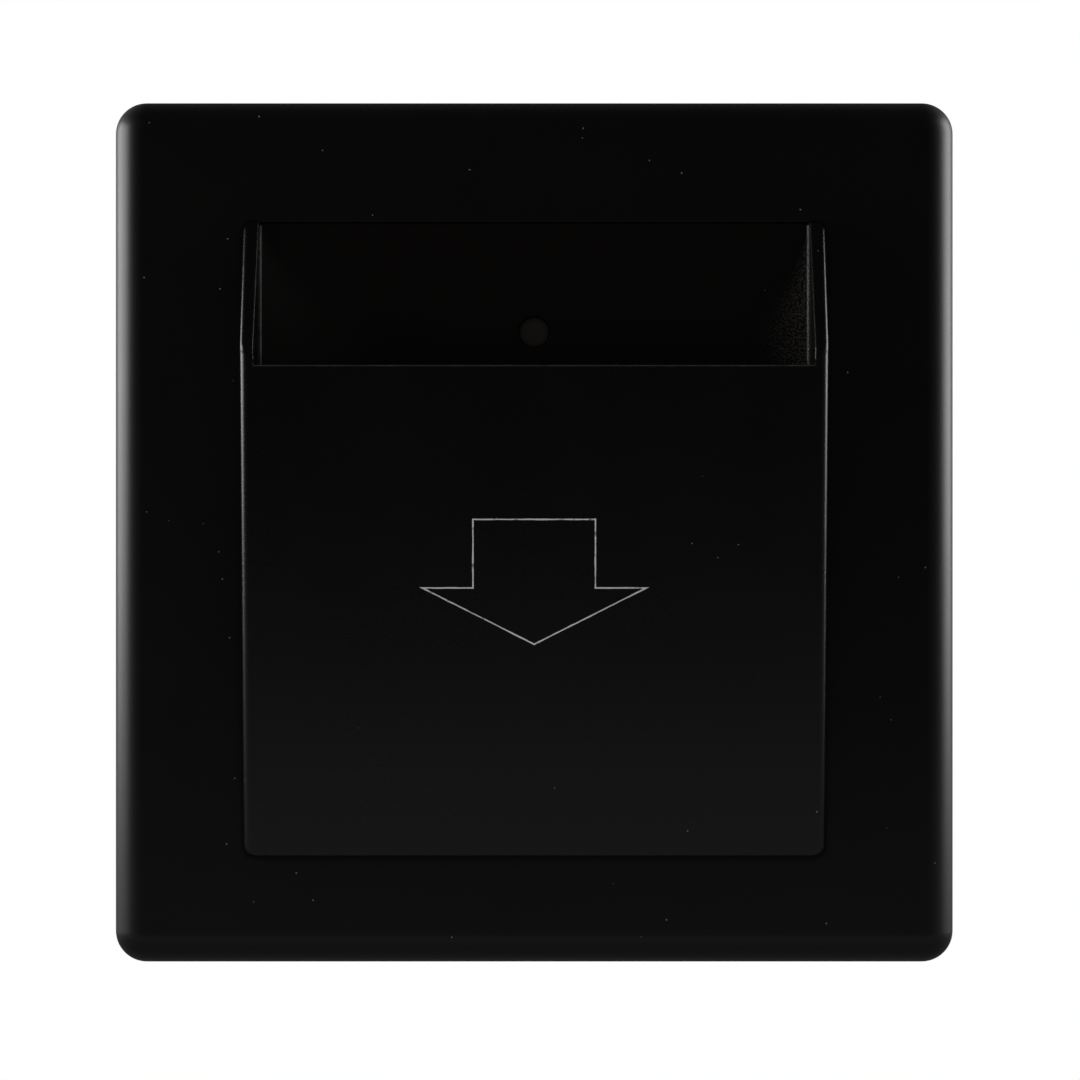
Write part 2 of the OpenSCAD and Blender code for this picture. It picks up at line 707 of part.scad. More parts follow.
// Leaf on the yoke's back that reaches over the armature's hinge end
module relay_hinge_clip() color("#cfae6a") in_relay() {
    over_z = hinge_z + armature_t + 0.5;
    box([-blade_half, yoke_back - blade_t, clip_z], [blade_half, yoke_back, over_z + blade_t]);
    box([-blade_half, yoke_back - blade_t, over_z], [blade_half, hinge_y + clip_reach, over_z + blade_t]);
}

module relay_cover() color("#2f5fa8") in_relay() difference() {
    box([-relay_size.x / 2, -relay_size.y / 2, 0], [relay_size.x / 2, relay_size.y / 2, relay_size.z]);
    box([-relay_size.x / 2 + relay_wall, -relay_size.y / 2 + relay_wall, -1],
        [relay_size.x / 2 - relay_wall, relay_size.y / 2 - relay_wall, relay_size.z - relay_wall]);
}

// Turned about the hinge edge of the yoke to where the armature rests when the coil is off
module released() in_relay() translate([0, hinge_y, hinge_z]) rotate([armature_tilt, 0, 0]) children();

module relay_armature() color("#b8b8b4") released()
    box([-yoke_half, -yoke_t / 4, 0], [yoke_half, armature_end, armature_t]);

// Blade on the armature with the moving contact riveted at its end
module relay_contact_blade() color("#d19a55") released() {
    reach = contact_y - hinge_y;
    box([-blade_half, blade_start, armature_t], [blade_half, reach + contact_r, armature_t + blade_t]);
    translate([0, reach, armature_t - button_h]) cylinder(r = contact_r, h = button_h + blade_t + 0.4);
}

module in_block(i) upright() behind_board([(i - 2) * terminal_pitch, terminal_v]) children();

// Block with a cell for each wire: open to the board, a wire mouth in front and a hole over each screw
module terminal_block() color("#3b6b4a") difference() {
    head_room = 0.2;
    in_block(2) translate([-block_size.x / 2, -block_size.y / 2, 0]) cube(block_size);
    for (i = [1 : 3]) in_block(i) {
        box([-cage_room.x, screw_y - cage_room.y, -1], [cage_room.x, screw_y + cage_room.y, head_z[0] - 0.1]);
        translate([0, screw_y, head_z[0] - 1])
            cylinder(r = head_r + head_room, h = head_z[1] - head_z[0] + 1.1);
        translate([0, screw_y, 0]) cylinder(r = head_r - 0.3, h = far);
        box([-strip_half - head_room, strip_inset - head_room - block_size.y / 2, -1],
            [strip_half + head_room, screw_y, strip_z[1] + head_room]);
        box([-mouth_half, screw_y, mouth_z], [mouth_half, block_size.y, strip_z[0] - fit]);
    }
}

// Strips that the wires are pressed against, each with a leg down to the board
module terminal_strips() color("#c9a24b") for (i = [1 : 3]) in_block(i) {
    back = strip_inset - block_size.y / 2;
    box([-strip_half, back, strip_z[0]], [strip_half, screw_y + cage_room.y - 0.2, strip_z[1]]);
    box([-strip_half, back, 0], [strip_half, back + 1, strip_z[1]]);
}

module terminal_screw(i) color("#a8a8a4") in_block(i) translate([0, screw_y, 0]) difference() {
    union() {
        translate([0, 0, strip_z[1] + fit]) cylinder(r = screw_r, h = head_z[0] - strip_z[1] - fit + eps);
        translate([0, 0, head_z[0]]) cylinder(r = head_r, h = head_z[1] - head_z[0]);
    }
    box([-far, -0.4, head_z[1] - 0.9], [far, 0.4, far]);
}

// Cage that the screw lifts towards its head, squeezing the wire up against the strip
module terminal_clamp(i) color("#c2c2be") in_block(i) translate([0, screw_y, 0]) {
    top = [strip_z[1] + 0.1, strip_z[1] + 0.1 + cage_top_bar];
    low = strip_z[0] - 0.4 - clamp_travel - cage_bar;
    difference() {
        box([-cage_half.x, -cage_half.y, low], [cage_half.x, cage_half.y, top[1]]);
        box([cage_wall - cage_half.x, -far, low + cage_bar], [cage_half.x - cage_wall, far, top[0]]);
        cylinder(r = screw_r + fit, h = far);
    }
}

module terminal_screw_1() terminal_screw(1);
module terminal_screw_2() terminal_screw(2);
module terminal_screw_3() terminal_screw(3);
module terminal_clamp_1() terminal_clamp(1);
module terminal_clamp_2() terminal_clamp(2);
module terminal_clamp_3() terminal_clamp(3);

front_plate();
card_holder();
card_guide();
indicator_lens();
cover_screws();
mounting_frame();
rear_housing();
housing_screws();
main_board();
board_screws();
antenna_former();
antenna_coil();
led_spacer();
indicator_led();
controller_chip();
reader_chip();
fuse();
varistor();
film_capacitor();
bleed_resistor();
bridge_rectifier();
smoothing_capacitor();
regulator();
relay_base();
relay_yoke();
relay_core();
relay_bobbin();
relay_winding();
relay_fixed_contact();
relay_hinge_clip();
relay_cover();
relay_armature();
relay_contact_blade();
terminal_block();
terminal_strips();
terminal_screw_1();
terminal_screw_2();
terminal_screw_3();
terminal_clamp_1();
terminal_clamp_2();
terminal_clamp_3();
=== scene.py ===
import math
import random

import bmesh
import bpy
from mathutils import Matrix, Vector


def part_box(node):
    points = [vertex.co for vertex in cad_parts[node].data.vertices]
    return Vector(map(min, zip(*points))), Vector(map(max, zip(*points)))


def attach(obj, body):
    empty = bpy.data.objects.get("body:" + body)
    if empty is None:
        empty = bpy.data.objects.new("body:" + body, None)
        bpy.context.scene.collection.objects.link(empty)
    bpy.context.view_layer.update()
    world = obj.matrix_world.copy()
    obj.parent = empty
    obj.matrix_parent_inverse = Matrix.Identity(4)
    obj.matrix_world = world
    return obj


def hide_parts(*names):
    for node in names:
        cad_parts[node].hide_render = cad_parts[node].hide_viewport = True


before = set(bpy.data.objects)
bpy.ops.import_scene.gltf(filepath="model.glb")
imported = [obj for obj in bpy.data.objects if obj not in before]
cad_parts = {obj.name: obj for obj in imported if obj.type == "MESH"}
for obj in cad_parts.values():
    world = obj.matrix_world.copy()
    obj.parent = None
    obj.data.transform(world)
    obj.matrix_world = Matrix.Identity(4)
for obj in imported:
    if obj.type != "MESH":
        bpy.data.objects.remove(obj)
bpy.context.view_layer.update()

# The view. The switch is seen square on from half a metre, against plain white.
# Two tall soft panels at its left and right light the rolled side edges and leave the faces dark.
scene = bpy.context.scene
scene.view_settings.view_transform = "Standard"


def added(name, data):
    """A new object in the scene."""
    thing = bpy.data.objects.new(name, data)
    scene.collection.objects.link(thing)
    return thing


camera = added("camera", bpy.data.cameras.new("camera"))
camera.data.sensor_width = 36
camera.data.lens = 163.1
camera.data.clip_start = 0.01
camera.location = (0.00059, -0.510, -0.00078)
camera.rotation_euler = (math.pi / 2, 0, 0)
scene.camera = camera


def node(tree, kind, **values):
    """Adds a shader node. Values are its properties, or its sockets by name, with _ for a space."""
    made = tree.nodes.new(kind)
    for key, value in values.items():
        if hasattr(made, key):
            setattr(made, key, value)
        else:
            made.inputs[key.replace("_", " ")].default_value = value
    return made


def math_node(tree, operation, a, b=None, clamp=False):
    """The result of a sum on sockets or numbers."""
    made = node(tree, "ShaderNodeMath", operation=operation, use_clamp=clamp)
    for socket, value in zip(made.inputs, (a, b)):
        if value is None:
            continue
        if isinstance(value, (int, float)):
            socket.default_value = value
        else:
            tree.links.new(value, socket)
    return made.outputs[0]


# The camera sees white behind everything. What is dull is lit evenly from all round.
# What shines sees a dark room in front, and paler sides behind.
CAMERA_WHITE, EVEN_LIGHT = 1.0, 0.62
ROOM_GLEAM, SIDE_GLEAM_FRONT, SIDE_GLEAM_BEHIND = 0.015, 0.02, 0.55
world = bpy.data.worlds.new("studio")
scene.world = world
world.use_nodes = True
world.cycles.sampling_method = "NONE"
studio = world.node_tree
studio.nodes.clear()
path = node(studio, "ShaderNodeLightPath")
direction = node(studio, "ShaderNodeSeparateXYZ")
studio.links.new(node(studio, "ShaderNodeTexCoord").outputs["Generated"], direction.inputs[0])
behind = node(studio, "ShaderNodeMapRange", From_Min=0.0, From_Max=0.6,
              To_Min=SIDE_GLEAM_FRONT, To_Max=SIDE_GLEAM_BEHIND)
studio.links.new(direction.outputs["Y"], behind.inputs["Value"])
sideways = math_node(studio, "ABSOLUTE", direction.outputs["X"])
gleam = math_node(studio, "ADD", math_node(studio, "MULTIPLY", behind.outputs[0], sideways), ROOM_GLEAM)
shining = math_node(studio, "MAXIMUM", path.outputs["Is Glossy Ray"], path.outputs["Is Transmission Ray"])
level = node(studio, "ShaderNodeMix", data_type="FLOAT", A=EVEN_LIGHT)
studio.links.new(shining, level.inputs["Factor"])
studio.links.new(gleam, level.inputs["B"])
seen = node(studio, "ShaderNodeMix", data_type="FLOAT", B=CAMERA_WHITE)
studio.links.new(path.outputs["Is Camera Ray"], seen.inputs["Factor"])
studio.links.new(level.outputs["Result"], seen.inputs["A"])
sky = node(studio, "ShaderNodeBackground", Color=(1, 1, 1, 1))
studio.links.new(seen.outputs["Result"], sky.inputs["Strength"])
studio.links.new(sky.outputs[0], node(studio, "ShaderNodeOutputWorld").inputs["Surface"])

# The soft panels. The left one reaches further out of the wall than the right one, and less far up.
LIGHT_X, LIGHT_BACK, LIGHT_LOW = 0.30, 0.19, -0.02
LIGHTS = (("panel_left", -1, -0.11, 0.16, 5.7), ("panel_right", 1, -0.045, 0.21, 5.1))
for label, side, front, high, strength in LIGHTS:
    panel = added(label, bpy.data.lights.new("panel", "AREA"))
    panel.data.shape = "RECTANGLE"
    panel.data.size, panel.data.size_y = LIGHT_BACK - front, high - LIGHT_LOW
    panel.data.energy = math.pi * strength * panel.data.size * panel.data.size_y
    panel.location = (LIGHT_X * side, (front + LIGHT_BACK) / 2, (LIGHT_LOW + high) / 2)
    panel.rotation_euler = (math.pi / 2, 0, math.pi / 2 * side)
    panel.visible_camera = False

# A pale floor a little below the switch. It fades into the white round it, and is clear from below.
# What shines sees it dim, palest a hand's width in front of the wall.
FLOOR_Z, FLOOR_HALF, FLOOR_PALE = -0.075, 0.34, (0.79, 0.79, 0.79, 1)
FADE_MIDDLE, FADE_FROM, FADE_TO = (0, -0.08, FLOOR_Z), 0.16, 0.25
DIM_NEAR, DIM_OUT, DIM_FAR = 0.12, 0.25, 0.02
NEAR_Y, OUT_Y, FALL_Y, FAR_Y = -0.04, -0.10, -0.18, -0.24
floor_corners = [(x * FLOOR_HALF, y * FLOOR_HALF, FLOOR_Z) for x, y in ((-1, -1), (1, -1), (1, 1), (-1, 1))]
floor_mesh = bpy.data.meshes.new("floor")
floor_mesh.from_pydata(floor_corners, [], [(0, 1, 2, 3)])
floor = added("floor", floor_mesh)
floor_paint = bpy.data.materials.new("floor_paint")
floor_paint.use_nodes = True
paint = floor_paint.node_tree
paint.nodes.clear()
spot = node(paint, "ShaderNodeTexCoord").outputs["Object"]
away = node(paint, "ShaderNodeVectorMath", operation="DISTANCE")
away.inputs[1].default_value = FADE_MIDDLE
paint.links.new(spot, away.inputs[0])
fade = node(paint, "ShaderNodeMapRange", interpolation_type="SMOOTHSTEP",
            From_Min=FADE_FROM, From_Max=FADE_TO)
paint.links.new(away.outputs["Value"], fade.inputs["Value"])
depth = node(paint, "ShaderNodeSeparateXYZ")
paint.links.new(spot, depth.inputs[0])
dim = node(paint, "ShaderNodeMapRange", From_Min=NEAR_Y, From_Max=OUT_Y, To_Min=DIM_NEAR, To_Max=DIM_OUT)
paint.links.new(depth.outputs["Y"], dim.inputs["Value"])
far = node(paint, "ShaderNodeMapRange", From_Min=FALL_Y, From_Max=FAR_Y, To_Min=1.0, To_Max=DIM_FAR)
paint.links.new(depth.outputs["Y"], far.inputs["Value"])
ray = node(paint, "ShaderNodeLightPath")
shine = node(paint, "ShaderNodeEmission")
paint.links.new(math_node(paint, "MULTIPLY", dim.outputs[0], far.outputs[0]), shine.inputs["Strength"])


def shader_mix(tree, factor, a, b):
    """Shader a where the factor is 0 and b where it is 1."""
    mix = node(tree, "ShaderNodeMixShader")
    for socket, value in zip(mix.inputs, (factor, a, b)):
        tree.links.new(value, socket)
    return mix.outputs[0]


pale = node(paint, "ShaderNodeBsdfDiffuse", Color=FLOOR_PALE).outputs[0]
bright = node(paint, "ShaderNodeEmission", Color=(1, 1, 1, 1)).outputs[0]
far_off = math_node(paint, "MULTIPLY", fade.outputs[0], ray.outputs["Is Camera Ray"])
painted = shader_mix(paint, far_off, pale, bright)
painted = shader_mix(paint, ray.outputs["Is Glossy Ray"], painted, shine.outputs[0])
painted = shader_mix(paint, node(paint, "ShaderNodeNewGeometry").outputs["Backfacing"], painted,
                     node(paint, "ShaderNodeBsdfTransparent").outputs[0])
paint.links.new(painted, node(paint, "ShaderNodeOutputMaterial").inputs["Surface"])
floor.data.materials.append(floor_paint)

# Rear housing: the box that goes into the wall, moulded in pale flame-proof plastic.
# Its mould leaves softened edges, a fine spark-eroded grain and a slightly uneven gloss.
# Four ears take the screws that hold it in the frame.


def shader_group(name, inputs, outputs):
    """A node group with named sockets: inputs as (name, kind, default), and outputs as (name, kind)."""
    group = bpy.data.node_groups.new(name, "ShaderNodeTree")
    for label, kind, default in inputs:
        socket = group.interface.new_socket(label, in_out="INPUT", socket_type=kind)
        socket.default_value = default
    for label, kind in outputs:
        group.interface.new_socket(label, in_out="OUTPUT", socket_type=kind)
    return group, group.nodes.new("NodeGroupInput"), group.nodes.new("NodeGroupOutput")


def millimetres(tree, size):
    """Object coordinates, one unit to each size in millimetres."""
    scale = node(tree, "ShaderNodeVectorMath", operation="SCALE")
    tree.links.new(node(tree, "ShaderNodeTexCoord").outputs["Object"], scale.inputs[0])
    tree.links.new(math_node(tree, "DIVIDE", 1000.0, size), scale.inputs["Scale"])
    return scale.outputs[0]


NUMBER = "NodeSocketFloat"
FLOW_MM, RUB_MM, DRIFT_MM, WORN_IN = 11.0, 1.7, 2.6, 0.0003
grain, grain_in, grain_out = shader_group(
    "mould_grain",
    [("Grain Size", NUMBER, 0.2), ("Gloss", NUMBER, 0.4), ("Spread", NUMBER, 0.05)],
    [("Height", NUMBER), ("Roughness", NUMBER), ("Tone", NUMBER)])
pits = node(grain, "ShaderNodeTexNoise", Scale=1.0, Detail=3.0, Roughness=0.6)
grain.links.new(millimetres(grain, grain_in.outputs["Grain Size"]), pits.inputs["Vector"])
flow = node(grain, "ShaderNodeTexNoise", Scale=1.0, Detail=2.0)
grain.links.new(millimetres(grain, FLOW_MM), flow.inputs["Vector"])
uneven = math_node(grain, "ADD", math_node(grain, "MULTIPLY", pits.outputs[0], 0.5), flow.outputs[0])
off_mean = math_node(grain, "SUBTRACT", uneven, 0.75)
swing = math_node(grain, "MULTIPLY", off_mean, grain_in.outputs["Spread"])
grain.links.new(pits.outputs[0], grain_out.inputs["Height"])
cloudy = node(grain, "ShaderNodeMapRange", From_Min=0.5, From_Max=1.0)
grain.links.new(uneven, cloudy.inputs["Value"])
grain.links.new(cloudy.outputs[0], grain_out.inputs["Tone"])
rough = math_node(grain, "ADD", grain_in.outputs["Gloss"], swing, clamp=True)
grain.links.new(rough, grain_out.inputs["Roughness"])

dust, dust_in, dust_out = shader_group(
    "settled_dust",
    [("Spacing", NUMBER, 3.0), ("Speck", NUMBER, 0.03), ("Share", NUMBER, 0.3)],
    [("Mask", NUMBER)])
cells = node(dust, "ShaderNodeTexVoronoi", Scale=1.0)
dust.links.new(millimetres(dust, dust_in.outputs["Spacing"]), cells.inputs["Vector"])
draw = node(dust, "ShaderNodeSeparateColor")
dust.links.new(cells.outputs["Color"], draw.inputs[0])
near = math_node(dust, "LESS_THAN", cells.outputs["Distance"],
                 math_node(dust, "MULTIPLY", dust_in.outputs["Speck"], draw.outputs[1]))
picked = math_node(dust, "LESS_THAN", draw.outputs[0], dust_in.outputs["Share"])
dust.links.new(math_node(dust, "MULTIPLY", near, picked), dust_out.inputs["Mask"])

# Paler sharp edges: wear on most parts, and on the card holder also a painted highlight.
wear_and_highlight, wear_and_highlight_in, wear_and_highlight_out = shader_group("rubbed_edges_and_highlight", [("Amount", NUMBER, 0.5)], [("Mask", NUMBER)])
corner = node(wear_and_highlight, "ShaderNodeAmbientOcclusion", samples=6, inside=True, only_local=True, Distance=WORN_IN)
ridge = node(wear_and_highlight, "ShaderNodeMapRange", From_Min=0.75, From_Max=0.35)
wear_and_highlight.links.new(corner.outputs["AO"], ridge.inputs["Value"])
rub = node(wear_and_highlight, "ShaderNodeTexNoise", Scale=1.0, Detail=4.0)
wear_and_highlight.links.new(millimetres(wear_and_highlight, RUB_MM), rub.inputs["Vector"])
edge_mask = math_node(wear_and_highlight, "MULTIPLY", math_node(wear_and_highlight, "MULTIPLY", ridge.outputs[0], rub.outputs[0]),
                   wear_and_highlight_in.outputs["Amount"], clamp=True)
wear_and_highlight.links.new(edge_mask, wear_and_highlight_out.inputs["Mask"])

nooks, nooks_in, nooks_out = shader_group(
    "dirt_in_corners", [("Reach", NUMBER, 1.5), ("Amount", NUMBER, 0.5)], [("Mask", NUMBER)])
shelter = node(nooks, "ShaderNodeAmbientOcclusion", samples=6, only_local=True)
nooks.links.new(math_node(nooks, "MULTIPLY", nooks_in.outputs["Reach"], 0.001), shelter.inputs["Distance"])
drift = node(nooks, "ShaderNodeTexNoise", Scale=1.0, Detail=5.0, Roughness=0.65)
nooks.links.new(millimetres(nooks, DRIFT_MM), drift.inputs["Vector"])
closed_in = math_node(nooks, "SUBTRACT", 1.0, shelter.outputs["AO"])
closed_in = math_node(nooks, "MULTIPLY", closed_in, drift.outputs[0])
soil = math_node(nooks, "MULTIPLY", closed_in, nooks_in.outputs["Amount"], clamp=True)
nooks.links.new(soil, nooks_out.inputs["Mask"])


def placed(tree, group, **values):
    """A node group put in a material, with its own values."""
    made = tree.nodes.new("ShaderNodeGroup")
    made.node_tree = group
    for key, value in values.items():
        made.inputs[key.replace("_", " ")].default_value = value
    return made


def blended(tree, mask, a, b):
    """Colour a where the mask is 0 and b where it is 1. Either may be a colour or a socket."""
    mix = node(tree, "ShaderNodeMix", data_type="RGBA")
    tree.links.new(mask, mix.inputs["Factor"])
    for socket, colour in ((mix.inputs[6], a), (mix.inputs[7], b)):
        if isinstance(colour, tuple):
            socket.default_value = (*colour, 1)
        else:
            tree.links.new(colour, socket)
    return mix.outputs[2]


def finish(name, colour, gloss, spread=0.06, grain_mm=0.2, bump=0.08, metallic=0.0,
           edge=None, dirt=None, speck=None, **even):
    """A material: uneven colour, gloss and fine relief from the mould, then what use adds.
    edge is (colour, amount) of rubbed edges, which on the card holder are also a painted highlight, dirt is
    (colour, reach in mm, amount) of dirt in corners, and speck is (colour, spacing in mm, size, share) of
    dust. even sets the shader's plain values."""
    made = bpy.data.materials.new(name)
    made.use_nodes = True
    tree = made.node_tree
    skin = tree.nodes["Principled BSDF"]
    skin.inputs["Metallic"].default_value = metallic
    for key, value in even.items():
        skin.inputs[key.replace("_", " ")].default_value = value
    relief = placed(tree, grain, Grain_Size=grain_mm, Gloss=gloss, Spread=spread)
    tree.links.new(relief.outputs["Roughness"], skin.inputs["Roughness"])
    dent = node(tree, "ShaderNodeBump", Strength=bump, Distance=0.0001)
    tree.links.new(relief.outputs["Height"], dent.inputs["Height"])
    tree.links.new(dent.outputs[0], skin.inputs["Normal"])
    darker, lighter = (tuple(c * share for c in colour) for share in (0.93, 1.05))
    base = blended(tree, relief.outputs["Tone"], darker, lighter)
    if edge:
        worn = placed(tree, wear_and_highlight, Amount=edge[1])
        base = blended(tree, worn.outputs[0], base, edge[0])
    if dirt:
        soiled = placed(tree, nooks, Reach=dirt[1], Amount=dirt[2])
        base = blended(tree, soiled.outputs[0], base, dirt[0])
    if speck:
        dusted = placed(tree, dust, Spacing=speck[1], Speck=speck[2], Share=speck[3])
        base = blended(tree, dusted.outputs[0], base, speck[0])
    tree.links.new(base, skin.inputs["Base Color"])
    return made


housing_plastic = finish("housing_plastic", (0.60, 0.58, 0.53), 0.46, grain_mm=0.25, bump=0.10,
                         edge=((0.80, 0.78, 0.73), 0.7), dirt=((0.30, 0.27, 0.22), 3.0, 1.0),
                         speck=((0.36, 0.34, 0.30), 3.0, 0.05, 0.8))


def made_piece(name, work, body, material, smooth=40, stands_for=()):
    """Turns bmesh work into a piece that rides on a body. Edges sharper than smooth degrees stay crisp."""
    mesh = bpy.data.meshes.new(name)
    bmesh.ops.recalc_face_normals(work, faces=work.faces)
    work.to_mesh(mesh)
    work.free()
    mesh.polygons.foreach_set("use_smooth", [True] * len(mesh.polygons))
    mesh.set_sharp_from_angle(angle=math.radians(smooth))
    mesh.materials.append(material)
    piece = added(name, mesh)
    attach(piece, body)
    if stands_for:
        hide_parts(*stands_for)
    return piece


def out_of_wall(x, v, h):
    """A point given in millimetres across the plate, up the wall and out of the wall."""
    return Vector((x, -h, v)) * 0.001


def rounded_loop(half_w, half_h, r, mid_v, h, steps):
    """Points of a rectangle with round corners, at height h out of the wall."""
    points = []
    for k, (sx, sv) in enumerate(((1, 1), (-1, 1), (-1, -1), (1, -1))):
        for i in range(steps + 1):
            a = math.radians(90 * k + 90 * i / steps)
            points.append(out_of_wall(sx * (half_w - r) + r * math.cos(a),
                                      mid_v + sv * (half_h - r) + r * math.sin(a), h))
    return points


def loft(work, loops, joined=False):
    """Quads between loops of equal length. joined also closes the last loop to the first."""
    rows = [[work.verts.new(p) for p in loop] for loop in loops]
    pairs = list(zip(rows, rows[1:]))
    if joined:
        pairs.append((rows[-1], rows[0]))
    for low, high in pairs:
        for i in range(len(low)):
            j = (i + 1) % len(low)
            work.faces.new((low[i], low[j], high[j], high[i]))
    return rows


def solid(work, loops):
    """A closed solid through loops of equal length, with both ends flat."""
    rows = loft(work, loops)
    for end in (rows[0], rows[-1]):
        work.faces.new(end)


def slab(work, outline, low_h, high_h):
    """A plate of the given outline of (x, v) points."""
    solid(work, [[out_of_wall(x, v, h) for x, v in outline] for h in (low_h, high_h)])


def circle(x, v, r, steps=32):
    """Points round a middle, as pairs."""
    angles = [2 * math.pi * k / steps for k in range(steps)]
    return [(x + r * math.cos(a), v + r * math.sin(a)) for a in angles]


def carved(work, cutters, joins=()):
    """The work with other solids joined to it and cut from it, as new bmesh work."""
    def loose(shape):
        mesh = bpy.data.meshes.new("loose")
        bmesh.ops.recalc_face_normals(shape, faces=shape.faces)
        shape.to_mesh(mesh)
        shape.free()
        return added("loose", mesh)

    block = loose(work)
    spare = [block]
    for operation, shapes in (("UNION", joins), ("DIFFERENCE", cutters)):
        for shape in shapes:
            tool = loose(shape)
            spare.append(tool)
            step = block.modifiers.new("carve", "BOOLEAN")
            step.operation, step.object, step.solver = operation, tool, "EXACT"
    bpy.context.view_layer.update()
    result = bmesh.new()
    result.from_object(block, bpy.context.evaluated_depsgraph_get())
    for thing in spare:
        bpy.data.objects.remove(thing)
    return result


SHORT_EDGE = 0.0015


def long_edge(edge):
    """Picks all edges but the short ones round small details."""
    return edge.calc_length() > SHORT_EDGE


def moulded_copy(name, round_mm, body, material, cutters=(), pick=long_edge):
    """A node's own solid with picked outer edges rounded and marks cut in it, to stand for the node."""
    work = bmesh.new()
    work.from_mesh(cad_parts[name].data)
    bmesh.ops.remove_doubles(work, verts=work.verts, dist=1e-6)
    bmesh.ops.dissolve_limit(work, angle_limit=math.radians(0.5), verts=work.verts, edges=work.edges)
    outer = [e for e in work.edges if e.is_convex and e.calc_face_angle() > math.radians(35) and pick(e)]
    bmesh.ops.bevel(work, geom=outer, offset=round_mm * 0.001, segments=4, profile=0.5, affect="EDGES")
    if cutters:
        work = carved(work, cutters)
    piece = made_piece(name + "_moulding", work, body, material, 60, [name])
    piece.modifiers.new("flat_faces", "WEIGHTED_NORMAL").keep_sharp = True
    return piece


# The marks of its mould on the back: a shallow sunk panel, the dimple of the gate and four ejector pins.
HOUSING_BACK, HOUSING_ROUND = -26.0, 0.6
SUNK_V, SUNK_HALF_W, SUNK_HALF_H, SUNK_R, SUNK_DEEP = 11.0, 17.0, 9.0, 1.2, 0.25
GATE = (0, -4.5, 1.6, 0.5)
PINS = [(x, v, 1.5, 0.1) for v in (24, -8) for x in (-20, 20)]
sunk_work, mark_work = bmesh.new(), bmesh.new()
solid(sunk_work, [rounded_loop(SUNK_HALF_W, SUNK_HALF_H, SUNK_R, SUNK_V, h, 6)
                  for h in (HOUSING_BACK - 1, HOUSING_BACK + SUNK_DEEP)])
for x, v, r, deep in (GATE, *PINS):
    slab(mark_work, circle(x, v, r), HOUSING_BACK - 1, HOUSING_BACK + deep)
moulded_copy("rear_housing", HOUSING_ROUND, "base", housing_plastic, [sunk_work, mark_work])

# Mounting frame: dark moulded plastic, flat on the wall, with slots for the fixing screws.
# Its raised rim has the catches that the plate snaps on.
# Housing screws: small countersunk cross-head screws, zinc plated, flush with the ears.
frame_plastic = finish("frame_plastic", (0.030, 0.030, 0.032), 0.44, grain_mm=0.22, bump=0.10,
                       edge=((0.07, 0.07, 0.07), 0.7), dirt=((0.075, 0.072, 0.066), 2.5, 0.9),
                       speck=((0.20, 0.20, 0.19), 3.0, 0.04, 0.9))


RIM_X, RIM_Z = 0.0388, 0.0399


def frame_rim(edge):
    """Picks the edges all round the frame's rim."""
    middle = (edge.verts[0].co + edge.verts[1].co) / 2
    return abs(middle.x) > RIM_X or abs(middle.z) > RIM_Z


moulded_copy("mounting_frame", 0.25, "base", frame_plastic, pick=frame_rim)


def dress(name, round_mm, *finishes, segments=2, turn=35, parts=None):
    """Rounds a node's sharp edges as its mould or press leaves them, and gives it its finish.
    Where it has several finishes, parts picks one for each face by the face's middle, in metres."""
    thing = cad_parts[name]
    thing.data.materials.clear()
    for material in finishes:
        thing.data.materials.append(material)
    if parts:
        for face in thing.data.polygons:
            face.material_index = parts(face.center)
    weld = thing.modifiers.new("weld", "WELD")
    weld.merge_threshold = 1e-6
    flat = thing.modifiers.new("flat", "DECIMATE")
    flat.decimate_type = "DISSOLVE"
    flat.angle_limit = math.radians(0.5)
    edge = thing.modifiers.new("edge", "BEVEL")
    edge.width = round_mm * 0.001
    edge.segments = segments
    edge.limit_method = "ANGLE"
    edge.angle_limit = math.radians(turn)
    edge.harden_normals = True


zinc = finish("zinc_plate", (0.62, 0.62, 0.60), 0.33, spread=0.2, grain_mm=0.5, bump=0.05, metallic=1.0,
              edge=((0.75, 0.75, 0.73), 0.6))
dress("housing_screws", 0.12, zinc)

# Main board: glass-fibre laminate under green solder mask.
# Copper tracks show through the mask as paler lines, and the sawn edges are bare.
# Four pan-head screws hold it down on the housing's posts.
board_mask = finish("board_mask", (0.012, 0.105, 0.045), 0.30, spread=0.08, grain_mm=0.35, bump=0.05,
                    speck=((0.35, 0.35, 0.33), 4.0, 0.03, 0.2), Coat_Weight=0.3)


def colour_so_far(material):
    """The socket that gives a material its colour."""
    return material.node_tree.nodes["Principled BSDF"].inputs["Base Color"].links[0].from_socket


OVER_COPPER, TINNED_PAD, BARE_LAMINATE = (0.030, 0.17, 0.075), (0.62, 0.60, 0.54), (0.36, 0.37, 0.20)
board = board_mask.node_tree
lie = node(board, "ShaderNodeMapping")
lie.inputs["Rotation"].default_value = (math.pi / 2, 0, 0)
lie.inputs["Scale"].default_value = (1000, 1000, 1000)
board.links.new(node(board, "ShaderNodeTexCoord").outputs["Object"], lie.inputs[0])
routes = node(board, "ShaderNodeTexVoronoi", voronoi_dimensions="2D", distance="CHEBYCHEV",
              Scale=0.12, Randomness=0.8)
board.links.new(lie.outputs[0], routes.inputs["Vector"])
between = math_node(board, "FRACT", math_node(board, "MULTIPLY", routes.outputs["Distance"], 8.0))
track = math_node(board, "LESS_THAN", between, 0.38)
pad = math_node(board, "LESS_THAN", routes.outputs["Distance"], 0.05)
over_copper = blended(board, track, colour_so_far(board_mask), OVER_COPPER)
with_pads = blended(board, pad, over_copper, TINNED_PAD)
facing = node(board, "ShaderNodeSeparateXYZ")
board.links.new(node(board, "ShaderNodeTexCoord").outputs["Normal"], facing.inputs[0])
sawn_edge = math_node(board, "LESS_THAN", math_node(board, "ABSOLUTE", facing.outputs["Y"]), 0.5)
